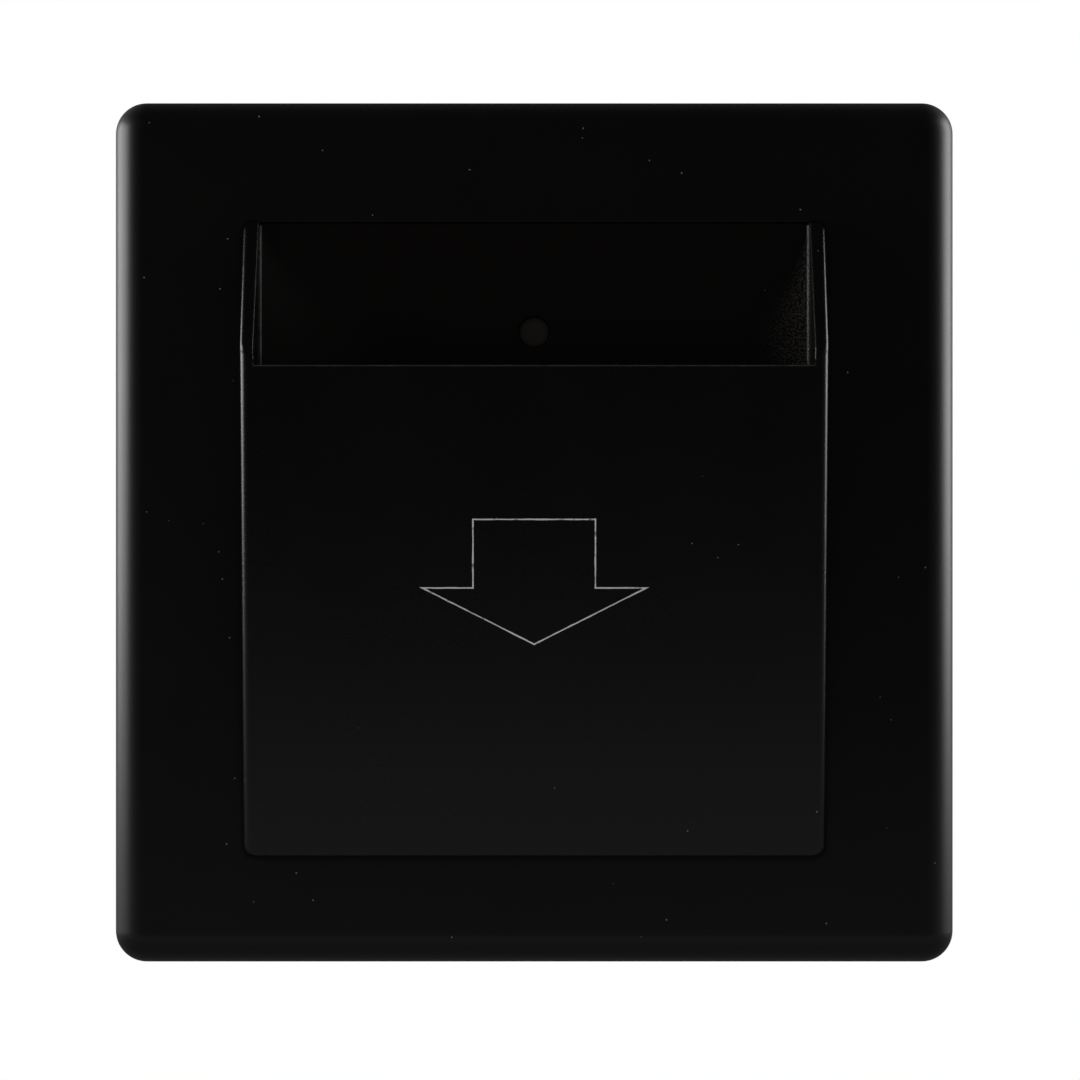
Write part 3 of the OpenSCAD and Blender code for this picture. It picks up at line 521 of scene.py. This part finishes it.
board_base = blended(board, sawn_edge, with_pads, BARE_LAMINATE)
board.links.new(board_base, board.nodes["Principled BSDF"].inputs["Base Color"])
dress("main_board", 0.08, board_mask)
dress("board_screws", 0.12, zinc)

# Antenna: enamelled copper wire wound in turns on a cream spool, right behind the card slot.
# The turns lie side by side between the spool's two lips, layer on layer.


def wire_turn(work, path, wire_r, sides=8):
    """A closed loop of wire along a path of points in a plane square to Y."""
    square = Vector((0, 1, 0))
    rings = []
    for i, p in enumerate(path):
        along = (path[(i + 1) % len(path)] - path[i - 1]).normalized()
        across = along.cross(square)
        rings.append([p + across * a + square * b for a, b in circle(0, 0, wire_r, sides)])
    loft(work, rings, joined=True)


former_plastic = finish("former_plastic", (0.78, 0.72, 0.58), 0.48, grain_mm=0.25, bump=0.08,
                        edge=((0.84, 0.79, 0.67), 0.5))
dress("antenna_former", 0.12, former_plastic)

copper_wire = finish("copper_wire", (0.62, 0.24, 0.07), 0.24, spread=0.12, grain_mm=0.4, bump=0.04,
                     metallic=1.0, Coat_Weight=0.6)
COIL_HALF_W, COIL_HALF_H, COIL_R, COIL_V, FIRST_TURN_H = 19.45, 18.45, 3.0, -3.0, -1.25
LAYERS, LAYER_STEP, TURNS, TURN_STEP, WIRE_R = 6, 0.32, 6, 0.3, 0.145
coil_work = bmesh.new()
for layer in range(LAYERS):
    inset = layer * LAYER_STEP
    for turn in range(TURNS):
        turn_h = FIRST_TURN_H + TURN_STEP * turn
        route = rounded_loop(COIL_HALF_W - inset, COIL_HALF_H - inset, COIL_R, COIL_V, turn_h, 8)
        wire_turn(coil_work, route, WIRE_R * 0.001)
made_piece("antenna_turns", coil_work, "base", copper_wire, stands_for=["antenna_coil"])

# Indicator light: a clear domed resin light on a spacer, under the lens in the front.
# Chips: black moulded resin with two rows of tinned legs, on the board inside the antenna.
dress("led_spacer", 0.15, former_plastic)
clear_resin = finish("clear_resin", (0.86, 0.88, 0.86), 0.12, spread=0.05, grain_mm=1.0, bump=0.02,
                     Transmission_Weight=0.7)
dress("indicator_led", 0.1, clear_resin, turn=50)


def end_caps(name, body_half_mm):
    """Picks the caps and legs at both ends of a part that lies up the board."""
    low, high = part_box(name)
    middle = (low.z + high.z) / 2
    return lambda c: int(abs(c.z - middle) > body_half_mm * 0.001)


chip_resin = finish("chip_resin", (0.018, 0.018, 0.018), 0.52, grain_mm=0.12, bump=0.12,
                    edge=((0.05, 0.05, 0.05), 0.5))
tin = finish("tinned_legs", (0.68, 0.67, 0.64), 0.28, spread=0.2, grain_mm=0.3, bump=0.06, metallic=1.0)
for name in ("controller_chip", "reader_chip"):
    dress(name, 0.05, chip_resin, tin, parts=end_caps(name, 1.96))

# Supply parts behind the board, all soldered by their tinned legs: a ceramic fuse with nickel caps,
# a dipped blue varistor, a yellow film capacitor, a lacquered resistor, a sleeved can,
# and two small resin packages.
fuse_ceramic = finish("fuse_ceramic", (0.72, 0.69, 0.60), 0.22, spread=0.1, grain_mm=0.6, bump=0.05)
dress("fuse", 0.12, fuse_ceramic, tin, parts=end_caps("fuse", 3.4))

dipped_blue = finish("dipped_blue", (0.03, 0.10, 0.42), 0.30, spread=0.12, grain_mm=0.9, bump=0.16)
low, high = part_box("varistor")
disc_r, disc_half = (high.z - low.z) / 2, (high.x - low.x) / 2
disc_mid = Vector(((low.x + high.x) / 2, high.y - disc_r, (low.z + high.z) / 2))
DISC_RINGS, DISC_STEPS, LEG_R, LEG_STEPS = 20, 40, 0.0003, 12
varistor_work = bmesh.new()
disc_loops = []
for i in range(DISC_RINGS + 1):
    a = math.radians(-89 + 178 * i / DISC_RINGS)
    across = math.copysign(abs(math.sin(a)) ** 0.5, a) * disc_half
    out = math.cos(a) ** 0.5 * disc_r
    disc_loops.append([disc_mid + Vector((across, y, z)) for y, z in circle(0, 0, out, DISC_STEPS)])
solid(varistor_work, disc_loops)
for leg_z in (disc_mid.z - disc_r / 2, disc_mid.z + disc_r / 2):
    leg = circle(disc_mid.x, leg_z, LEG_R, LEG_STEPS)
    solid(varistor_work, [[Vector((x, y, z)) for x, z in leg] for y in (low.y, disc_mid.y - disc_r * 0.8)])
varistor = made_piece("varistor_dipped", varistor_work, "base", dipped_blue, 60,
                      ["varistor"])
varistor.data.materials.append(tin)
for face in varistor.data.polygons:
    face.material_index = int(face.center.y < disc_mid.y - disc_r)

film_case = finish("film_case", (0.74, 0.50, 0.05), 0.36, spread=0.08, grain_mm=0.3, bump=0.08,
                   edge=((0.82, 0.62, 0.16), 0.5))
dress("film_capacitor", 0.4, film_case, segments=3)

lacquer = finish("resistor_lacquer", (0.28, 0.48, 0.60), 0.26, spread=0.1, grain_mm=0.5, bump=0.08)
dress("bleed_resistor", 0.15, lacquer, tin, parts=end_caps("bleed_resistor", 2.55))

shrink_sleeve = finish("shrink_sleeve", (0.018, 0.028, 0.075), 0.28, spread=0.1, grain_mm=1.6, bump=0.05)
can_aluminium = finish("can_aluminium", (0.72, 0.72, 0.72), 0.36, spread=0.2, grain_mm=0.5, bump=0.06,
                       metallic=1.0)
can_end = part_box("smoothing_capacitor")[1].y - 0.0003
dress("smoothing_capacitor", 0.2, shrink_sleeve, can_aluminium, segments=3,
      parts=lambda c: int(c.y > can_end))

for name, half in (("bridge_rectifier", 1.65), ("regulator", 1.7)):
    dress(name, 0.08, chip_resin, tin, parts=end_caps(name, half))

# Relay: a nickel-plated iron yoke, core and armature round a copper winding on a cream bobbin.
# Copper-alloy contacts stand beside them, under a blue moulded cover.
# The winding is made as its two outer layers of turns.
plated_iron = finish("plated_iron", (0.56, 0.56, 0.53), 0.32, spread=0.25, grain_mm=0.6, bump=0.06,
                     metallic=1.0)
contact_alloy = finish("contact_alloy", (0.72, 0.43, 0.20), 0.26, spread=0.2, grain_mm=0.4, bump=0.05,
                       metallic=1.0)
relay_plastic = finish("relay_plastic", (0.02, 0.05, 0.17), 0.42, grain_mm=0.2, bump=0.08)
cover_plastic = finish("cover_plastic", (0.035, 0.12, 0.40), 0.30, spread=0.1, grain_mm=0.3, bump=0.06,
                       edge=((0.10, 0.22, 0.52), 0.5), speck=((0.4, 0.4, 0.4), 4.0, 0.04, 0.25))
for name, round_mm, material in (
        ("relay_yoke", 0.12, plated_iron), ("relay_core", 0.12, plated_iron),
        ("relay_armature", 0.12, plated_iron), ("relay_bobbin", 0.12, former_plastic),
        ("relay_base", 0.2, relay_plastic), ("relay_cover", 0.35, cover_plastic),
        ("relay_fixed_contact", 0.08, contact_alloy), ("relay_hinge_clip", 0.06, contact_alloy),
        ("relay_contact_blade", 0.06, contact_alloy)):
    dress(name, round_mm, material, segments=3)

FINE_WIRE_R, FINE_STEP, FINE_LAYERS, RING_STEPS = 0.00015, 0.00032, 2, 40
low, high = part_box("relay_winding")
middle = (low + high) / 2
outer_r = (high.x - low.x) / 2 - FINE_STEP / 2
turns = int((high.y - low.y) / FINE_STEP)
winding_work = bmesh.new()
for layer in range(FINE_LAYERS):
    ring = circle(middle.x, middle.z, outer_r - layer * 2 * FINE_WIRE_R, RING_STEPS)
    for turn in range(turns):
        y = low.y + (turn + 0.5) * (high.y - low.y) / turns
        wire_turn(winding_work, [Vector((x, y, z)) for x, z in ring], FINE_WIRE_R, 6)
made_piece("relay_turns", winding_work, "base", copper_wire, stands_for=["relay_winding"])

# Terminals: a dark moulded block with three cells, behind the board at the low end of the housing.
# In each, a zinc-plated screw lifts a steel cage that squeezes the wire against a brass strip.
block_plastic = finish("block_plastic", (0.11, 0.15, 0.12), 0.44, grain_mm=0.22, bump=0.10,
                       edge=((0.19, 0.23, 0.20), 0.7), dirt=((0.05, 0.06, 0.05), 1.5, 0.9),
                       speck=((0.35, 0.35, 0.33), 2.5, 0.04, 0.8))
moulded_copy("terminal_block", 0.35, "base", block_plastic)
brass = finish("strip_brass", (0.76, 0.55, 0.22), 0.28, spread=0.2, grain_mm=0.5, bump=0.05, metallic=1.0)
dress("terminal_strips", 0.1, brass)
for i in (1, 2, 3):
    for name in (f"terminal_screw_{i}", f"terminal_clamp_{i}"):
        dress(name, 0.15, zinc, segments=3)

# Front plate: satin black moulded plastic, its front edge rolled over all round.
# It has a window for the card holder. Behind, it is hollow, with screw bosses,
# and with four hooks that snap under the catches of the frame.
plate_black = finish("plate_black", (0.0024, 0.0014, 0.0009), 0.40, spread=0.06, grain_mm=0.16, bump=0.10,
                     speck=((0.10, 0.10, 0.095), 2.4, 0.040, 1.0))
PLATE_W, PLATE_H, PLATE_T, PLATE_WALL, RIM_GAP, RIM_EDGE_R = 86.0, 88.2, 10.0, 2.0, 0.3, 0.2
CORNER_R, CORNER_STEPS, EDGE_R, EDGE_STEPS, HOLLOW_R = 3.2, 14, 3.0, 24, 0.6
WINDOW_W, WINDOW_H, WINDOW_R, WINDOW_V = 59.44, 64.74, 0.95, -0.65
WINDOW_EDGE_R, WINDOW_EDGE_STEPS = 0.05, 4
SKIN_BACK = PLATE_T - PLATE_WALL


def plate_ring(inset, h):
    """Round the outside of the plate."""
    corner_r = max(CORNER_R - inset, 0.05)
    return rounded_loop(PLATE_W / 2 - inset, PLATE_H / 2 - inset, corner_r, 0.0, h, CORNER_STEPS)


def window_ring(grow, h):
    """Round the window for the holder."""
    return rounded_loop(WINDOW_W / 2 + grow, WINDOW_H / 2 + grow, WINDOW_R + grow, WINDOW_V, h, CORNER_STEPS)


def hollow_ring(inset, h):
    """Round the hollow behind the plate."""
    inset += PLATE_WALL
    return rounded_loop(PLATE_W / 2 - inset, PLATE_H / 2 - inset, HOLLOW_R, 0.0, h, CORNER_STEPS)


# From the rim up the outside, over the rolled edge, down through the window and back along the hollow.
# Rings close beside each round keep the flats from shading as if they were round too.
plate_loops = [plate_ring(RIM_EDGE_R, RIM_GAP), plate_ring(0.3 * RIM_EDGE_R, RIM_GAP + 0.3 * RIM_EDGE_R),
               plate_ring(0.0, RIM_GAP + RIM_EDGE_R), plate_ring(0.0, RIM_GAP + 0.6),
               plate_ring(0.0, PLATE_T - EDGE_R - 0.4)]
for i in range(EDGE_STEPS + 1):
    a = math.radians(90 * i / EDGE_STEPS)
    plate_loops.append(plate_ring(EDGE_R * (1 - math.cos(a)), PLATE_T - EDGE_R * (1 - math.sin(a))))
plate_loops += [plate_ring(EDGE_R + 0.35, PLATE_T), window_ring(0.6, PLATE_T)]
for i in range(WINDOW_EDGE_STEPS + 1):
    a = math.radians(90 * i / WINDOW_EDGE_STEPS)
    out, down = WINDOW_EDGE_R * (1 - math.sin(a)), WINDOW_EDGE_R * (1 - math.cos(a))
    plate_loops.append(window_ring(out, PLATE_T - down))
plate_loops += [window_ring(0.0, PLATE_T - 0.5), window_ring(0.0, SKIN_BACK + 0.1),
                window_ring(0.1, SKIN_BACK), window_ring(0.4, SKIN_BACK),
                hollow_ring(0.5, SKIN_BACK), hollow_ring(0.0, SKIN_BACK - 0.5),
                hollow_ring(0.0, RIM_GAP + RIM_EDGE_R), hollow_ring(-RIM_EDGE_R, RIM_GAP)]
plate_work = bmesh.new()
loft(plate_work, plate_loops, joined=True)

# Bosses and hooks are rooted in the skin. A pilot hole goes up each boss.
ROOT_H = SKIN_BACK + 0.2
BOSS_R, BOSS_END_H, PILOT_R, PILOT_H = 2.3, 6.2, 1.25, 9.1
BOSS_PLACES = [(x, v) for x in (-34.55, 34.55) for v in (-24.0, 24.0)]
boss_work, pilot_work = bmesh.new(), bmesh.new()
for x, v in BOSS_PLACES:
    slab(boss_work, circle(x, v, BOSS_R), BOSS_END_H, ROOT_H)
    slab(pilot_work, circle(x, v, PILOT_R), BOSS_END_H - 1.2, PILOT_H)

HOOK_X, HOOK_V, HOOK_HALF_W, HOOK_T, HOOK_TIP, HOOK_NOSE = 22.0, 39.5, 4.0, 1.2, 2.3, 0.45
hook_outline = [(-HOOK_T, ROOT_H), (-HOOK_T, HOOK_TIP + 0.1), (-HOOK_T + 0.1, HOOK_TIP),
                (0.0, HOOK_TIP), (HOOK_NOSE, HOOK_TIP + 0.5), (HOOK_NOSE, HOOK_TIP + 1.0),
                (0.0, HOOK_TIP + 1.4), (0.0, ROOT_H)]
for x in (-HOOK_X, HOOK_X):
    for up in (-1, 1):
        solid(boss_work, [[out_of_wall(x + dx, up * (HOOK_V + v), h) for v, h in hook_outline]
                          for dx in (-HOOK_HALF_W, HOOK_HALF_W)])


def rectangle(half_w, low_v, high_v):
    """Corners of a rectangle, as pairs."""
    return [(-half_w, low_v), (half_w, low_v), (half_w, high_v), (-half_w, high_v)]


# The notch in the lower rim, for a screwdriver to prise the front off.
NOTCH_HALF_W, NOTCH_TOP_H = 4.0, 1.2
notch_work = bmesh.new()
notch = rectangle(NOTCH_HALF_W, -PLATE_H / 2 - 1, -PLATE_H / 2 + PLATE_WALL + 0.5)
slab(notch_work, notch, -1.0, NOTCH_TOP_H)
plate_work = carved(plate_work, [pilot_work, notch_work], [boss_work])
made_piece("front_plate_moulding", plate_work, "front", plate_black, 30, ["front_plate"])

# Card holder: one satin black moulding with two wedge cheeks and a sloping pocket front between them.
# Its outer edges are rolled, wider beside the pocket than on the cheeks, whose inner faces have draft.
# A flange round its back is held between the plate and the guide.
# Its pale edge colour is partly wear from cards and partly a painted highlight along the lip and edges.
holder_black = finish("holder_black", (0.0016, 0.0015, 0.0015), 0.28, spread=0.06, grain_mm=0.16, bump=0.10,
                      edge=((0.13, 0.128, 0.125), 1.0),
                      speck=((0.10, 0.10, 0.095), 2.8, 0.032, 0.8))
HOLDER_W, HOLDER_TOP, HOLDER_BOTTOM, HOLDER_BACK = 59.4, 31.7, -33.0, 6.2
RIDGE_V, RIDGE_H, FOOT_H, CHEEK_END_H = 18.5, 17.0, 11.0, 10.6
FRONT_FALL = (RIDGE_H - FOOT_H) / (RIDGE_V - HOLDER_BOTTOM)
CHEEK_FALL = (RIDGE_H - CHEEK_END_H) / (HOLDER_TOP - RIDGE_V)
SLOT_HALF, LIP_V, FRONT_WALL, STOP_V, FLOOR_H = 28.05, 16.9, 1.8, -30.6, 9.7
FRONT_EDGE_R, CHEEK_EDGE_R, HOLDER_CORNER_R, END_R, RIDGE_ROUND = 0.8, 0.5, 0.9, 0.2, 0.25


def pocket_h(v):
    """Height of the pocket front."""
    return RIDGE_H - (RIDGE_V - v) * FRONT_FALL


def roof_h(v):
    """Height of the holder along its length, with the ridge and both ends a little rounded."""
    slope = pocket_h(v) if v < RIDGE_V else RIDGE_H - (v - RIDGE_V) * CHEEK_FALL
    past = max(0.0, 1 - abs(v - RIDGE_V) / RIDGE_ROUND)
    slope -= past * past * RIDGE_ROUND * (FRONT_FALL + CHEEK_FALL) / 4
    end = min(v - HOLDER_BOTTOM, HOLDER_TOP - v)
    return slope - (END_R - math.sqrt(max(0.0, END_R ** 2 - (END_R - end) ** 2)) if end < END_R else 0.0)


# Heights of the sections, close together at the rounded ends and at the ridge.
END_STEPS, BLEND = 8, 0.6
from_end = [HOLDER_CORNER_R * (1 - math.cos(math.radians(90 * i / END_STEPS))) for i in range(END_STEPS + 1)]
from_end[0] = 0.004
at_ridge = [RIDGE_V + d for d in (-BLEND, -0.25, -0.12, 0.0, 0.12, 0.25, BLEND)]
stations = [HOLDER_BOTTOM + d for d in from_end] + [-31.5, -20.0, 0.0, 14.0] + at_ridge + [25.0, 30.2]
stations += [HOLDER_TOP - d for d in reversed(from_end)]


def holder_section(v):
    """The holder's outline across at one height: from the back left, over the roof, to the back right."""
    end = min(v - HOLDER_BOTTOM, HOLDER_TOP - v)
    half = HOLDER_W / 2
    if end < HOLDER_CORNER_R:
        half += math.sqrt(HOLDER_CORNER_R ** 2 - (HOLDER_CORNER_R - end) ** 2) - HOLDER_CORNER_R
    past_ridge = min(1.0, max(0.0, (v - RIDGE_V + BLEND) / (2 * BLEND)))
    r = FRONT_EDGE_R + (CHEEK_EDGE_R - FRONT_EDGE_R) * past_ridge
    top = roof_h(v)
    right = [(half, HOLDER_BACK), (half, top - r - 0.2)]
    for i in range(END_STEPS + 1):
        a = math.radians(90 * i / END_STEPS)
        right.append((half - r + r * math.cos(a), top - r + r * math.sin(a)))
    right.append((half - r - 0.25, top))
    return [out_of_wall(-x, v, h) for x, h in right] + [out_of_wall(x, v, h) for x, h in reversed(right)]


outer_work, flange_work = bmesh.new(), bmesh.new()
solid(outer_work, [holder_section(v) for v in stations])
FLANGE_HALF_W, FLANGE_OUT = 40.2, 3.0
flange = rectangle(FLANGE_HALF_W, HOLDER_BOTTOM - FLANGE_OUT, HOLDER_TOP + FLANGE_OUT)
slab(flange_work, flange, HOLDER_BACK, SKIN_BACK)

# The space for the card: straight at the back, drafted above the floor, and open at the top.
DRAFT, ABOVE_ALL, PAST_ALL = math.radians(2), 30.0, 40.0
wide = SLOT_HALF + (ABOVE_ALL - FLOOR_H) * math.tan(DRAFT)
inner_drop = FRONT_WALL * math.sqrt(1 + FRONT_FALL ** 2)


def space_between(low_v, high_v, low_h):
    """The space between the cheeks, over part of their length."""
    half = [(SLOT_HALF, low_h), (SLOT_HALF, FLOOR_H), (wide, ABOVE_ALL)]
    outline = [(-x, h) for x, h in half] + half[::-1]
    work = bmesh.new()
    solid(work, [[out_of_wall(x, v, h) for x, h in outline] for v in (low_v, high_v)])
    return work


space_work = space_between(STOP_V, HOLDER_TOP - 0.02, 0.0)
above_work = space_between(HOLDER_TOP - 0.5, HOLDER_TOP + 5, SKIN_BACK + 0.002)
# The pocket front itself, put back into that space.
pocket_back = [(v, pocket_h(v) - inner_drop) for v in (STOP_V - 1, LIP_V)]
pocket_outline = [*pocket_back, (LIP_V, PAST_ALL), (STOP_V - 1, PAST_ALL)]
pocket_work = bmesh.new()
solid(pocket_work, [[out_of_wall(x, v, h) for v, h in pocket_outline] for x in (-PAST_ALL, PAST_ALL)])
space_work = carved(space_work, [pocket_work])
BOSS_PLAY = 0.05
boss_holes = bmesh.new()
for x, v in BOSS_PLACES:
    slab(boss_holes, circle(x, v, BOSS_R + BOSS_PLAY), HOLDER_BACK - 1, SKIN_BACK + 1)
holder_work = carved(outer_work, [space_work, above_work, boss_holes], [flange_work])
bmesh.ops.dissolve_limit(holder_work, angle_limit=math.radians(0.05),
                         verts=holder_work.verts, edges=holder_work.edges)

# A small hollow round at the foot of each cheek covers the joint with the guide.
ROUND_R, ROUND_STEPS, ROUND_X, ROUND_FOOT = 0.2, 6, SLOT_HALF + 0.01, FLOOR_H + 0.01
foot_outline = [(SLOT_HALF + ROUND_R, ROUND_FOOT + ROUND_R), (SLOT_HALF + ROUND_R, ROUND_FOOT)]
for i in range(ROUND_STEPS + 1):
    a = math.radians(90 - 90 * i / ROUND_STEPS)
    inward, upward = ROUND_R * (1 - math.cos(a)), ROUND_R * (1 - math.sin(a))
    foot_outline.append((ROUND_X - inward, ROUND_FOOT + upward))
foot_work = bmesh.new()
for side in (-1, 1):
    solid(foot_work, [[out_of_wall(side * x, v, h) for x, h in foot_outline]
                      for v in (LIP_V - 3, HOLDER_TOP - 0.3)])
holder_work = carved(holder_work, [], [foot_work])

# The edges that a card slides past are rounded: the cheeks' inner edges, and less so the lip between them.
CARD_EDGE_R, LIP_SHARE = 0.25, 0.25


def at_slot_top(p):
    """Tells whether a point in millimetres is on the upper edges of the slot."""
    edge_h = min(pocket_h(LIP_V), roof_h(p.z))
    return abs(p.x) < SLOT_HALF + 0.4 and p.z > LIP_V - 0.01 and -p.y > edge_h - 0.02


round_share = holder_work.edges.layers.float.new("bevel_weight_edge")
for edge in holder_work.edges:
    first, second = (vert.co * 1000 for vert in edge.verts)
    crisp = edge.is_convex and edge.calc_face_angle() > math.radians(50)
    if crisp and at_slot_top(first) and at_slot_top(second):
        edge[round_share] = LIP_SHARE if first.x * second.x < 0 else 1.0
holder = made_piece("card_holder_moulding", holder_work, "front", holder_black, 30,
                    ["card_holder"])
card_edges = holder.modifiers.new("card_edges", "BEVEL")
card_edges.limit_method = "WEIGHT"
card_edges.width = CARD_EDGE_R * 0.001
card_edges.segments = 4
card_edges.use_clamp_overlap = False
holder.modifiers.new("flat_faces", "WEIGHTED_NORMAL").keep_sharp = True

# Arrow: an outline pad-printed in pale grey ink on the pocket front, pointing the way the card goes in.
# Pad printing leaves the line a little uneven in width and thin in places.
ink = finish("pad_ink", (0.40, 0.41, 0.405), 0.55, spread=0.1, grain_mm=0.12, bump=0.05)
THIN_INK, INK_PATCH_MM = (0.09, 0.09, 0.09), 0.7
printing = ink.node_tree
thin = node(printing, "ShaderNodeTexNoise", Scale=1.0, Detail=3.0)
printing.links.new(millimetres(printing, INK_PATCH_MM), thin.inputs["Vector"])
worn = node(printing, "ShaderNodeMapRange", From_Min=0.56, From_Max=0.70)
printing.links.new(thin.outputs[0], worn.inputs["Value"])
ink_base = blended(printing, worn.outputs[0], colour_so_far(ink), THIN_INK)
printing.links.new(ink_base, printing.nodes["Principled BSDF"].inputs["Base Color"])
LINE_W, INK_T, INK_SINK, STRETCH = 0.15, 0.012, 0.004, 0.6
THINNEST, THICKEST, WANDER = 0.72, 1.12, 0.012
SHAFT, HEAD, ARROW_TOP, SHOULDER, TIP = 6.2, 11.35, 1.31, -5.64, -11.36
arrow = [(-SHAFT, ARROW_TOP), (SHAFT, ARROW_TOP), (SHAFT, SHOULDER), (HEAD, SHOULDER), (0.0, TIP),
         (-HEAD, SHOULDER), (-SHAFT, SHOULDER)]
hand = random.Random(7)
left_line, right_line = [], []
for i, here in enumerate(arrow):
    before, after = Vector(arrow[i - 1]), Vector(arrow[(i + 1) % len(arrow)])
    here = Vector(here)
    come, go_on = (here - before).normalized(), (after - here).normalized()
    square_in, square_out = Vector((-come.y, come.x)), Vector((-go_on.y, go_on.x))
    mitre = (square_in + square_out).normalized()
    mitre /= mitre.dot(square_in)
    left_line.append(here + mitre * LINE_W / 2)
    right_line.append(here - mitre * LINE_W / 2)
    stretches = max(2, int((after - here).length / STRETCH))
    for k in range(1, stretches):
        at = here + (after - here) * k / stretches
        half_line = square_out * LINE_W / 2 * hand.uniform(THINNEST, THICKEST)
        shift = square_out * hand.uniform(-WANDER, WANDER)
        left_line.append(at + half_line + shift)
        right_line.append(at - half_line + shift)


def on_pocket(point, lift):
    """A point of the print, lifted off the pocket front."""
    return out_of_wall(point.x, point.y, pocket_h(point.y) + lift)


arrow_work = bmesh.new()
loft(arrow_work, [[on_pocket(p, lift) for p in line] for line, lift in (
    (left_line, -INK_SINK), (left_line, INK_T), (right_line, INK_T), (right_line, -INK_SINK))], joined=True)
made_piece("printed_arrow", arrow_work, "front", ink, 30)

# Card guide: the flat black floor of the recess, screwed on behind the holder.
# It carries on down behind the pocket as the back of the card slot.
# Indicator lens: a smoky moulded button in the guide, set a little below the floor.
guide_black = finish("guide_black", (0.0033, 0.0021, 0.0016), 0.42, spread=0.05, grain_mm=0.16, bump=0.10,
                     speck=((0.09, 0.09, 0.085), 2.8, 0.03, 0.7), Specular_IOR_Level=0.15)
guide = guide_black.node_tree
# A pale glow is painted on the floor beside the cheeks, as painted reflected light from the cheeks' inner
# faces, most low down, where the cheeks are tall.
# The right side is flecked, and the left one, painted light where the left cheek shades the floor, is even
# and wider.
PAINTED_GLOW_GREY, FLECK_MM, FLECKED_GLOW_REACH, EVEN_GLOW_REACH, EVEN_GLOW = (0.053, 0.050, 0.045), 0.22, 6.4, 16.0, 0.12
place = node(guide, "ShaderNodeSeparateXYZ")
guide.links.new(millimetres(guide, 1.0), place.inputs[0])
tall = node(guide, "ShaderNodeMapRange", interpolation_type="SMOOTHSTEP",
            From_Min=HOLDER_TOP, From_Max=RIDGE_V, To_Min=0.04, To_Max=1.0)
guide.links.new(place.outputs["Z"], tall.inputs["Value"])
flecks = node(guide, "ShaderNodeTexNoise", Scale=1.0, Detail=2.0, Roughness=0.6)
guide.links.new(millimetres(guide, FLECK_MM), flecks.inputs["Vector"])
fleck = node(guide, "ShaderNodeMapRange", From_Min=0.42, From_Max=0.68)
guide.links.new(flecks.outputs[0], fleck.inputs["Value"])
guide_base = colour_so_far(guide_black)
# Each side lays its painted glow over the floor's own colour.
for side, reach, strength in ((1, FLECKED_GLOW_REACH, fleck.outputs[0]), (-1, EVEN_GLOW_REACH, EVEN_GLOW)):
    sideways = math_node(guide, "MULTIPLY", place.outputs["X"], side)
    off_cheek = math_node(guide, "SUBTRACT", SLOT_HALF, sideways)
    reached = math_node(guide, "MULTIPLY", tall.outputs[0], reach)
    near_cheek = math_node(guide, "SUBTRACT", 1.0, math_node(guide, "DIVIDE", off_cheek, reached), clamp=True)
    painted_glow = math_node(guide, "MULTIPLY", math_node(guide, "POWER", near_cheek, 2.0), strength)
    guide_base = blended(guide, painted_glow, guide_base, PAINTED_GLOW_GREY)
guide.links.new(guide_base, guide.nodes["Principled BSDF"].inputs["Base Color"])
dress("card_guide", 0.12, guide_black)

smoke = finish("lens_smoke", (0.0125, 0.0105, 0.009), 0.30, spread=0.08, grain_mm=0.5, bump=0.03,
               Coat_Weight=0.2)
LENS_V, LENS_R, LENS_TOP, LENS_BACK, LENS_STEPS = 20.5, 1.6, 9.2, 7.09, 48
LENS_COLLAR_R, LENS_COLLAR_H = 2.35, LENS_BACK + 1.0
lens_work = bmesh.new()
lens_profile = [(LENS_COLLAR_R, LENS_BACK), (LENS_COLLAR_R, LENS_COLLAR_H - 0.05),
                (LENS_COLLAR_R - 0.05, LENS_COLLAR_H), (LENS_R, LENS_COLLAR_H),
                (LENS_R, LENS_TOP - 0.28), (LENS_R - 0.06, LENS_TOP - 0.17), (LENS_R - 0.2, LENS_TOP - 0.1),
                (LENS_R * 0.6, LENS_TOP - 0.04), (LENS_R * 0.3, LENS_TOP - 0.01)]
lens_rows = loft(lens_work, [[out_of_wall(x, v, h) for x, v in circle(0, LENS_V, r, LENS_STEPS)]
                             for r, h in lens_profile])
lens_tip = lens_work.verts.new(out_of_wall(0, LENS_V, LENS_TOP))
for i in range(LENS_STEPS):
    lens_work.faces.new((lens_rows[-1][i], lens_rows[-1][(i + 1) % LENS_STEPS], lens_tip))
lens_work.faces.new(lens_rows[0])
made_piece("indicator_lens_button", lens_work, "front", smoke, 40, ["indicator_lens"])

# Cover screws: four zinc-plated pan-head screws, put in from behind.
# They go through the guide and the holder into the plate's bosses, and hold the whole front together.
dress("cover_screws", 0.15, zinc, segments=3)
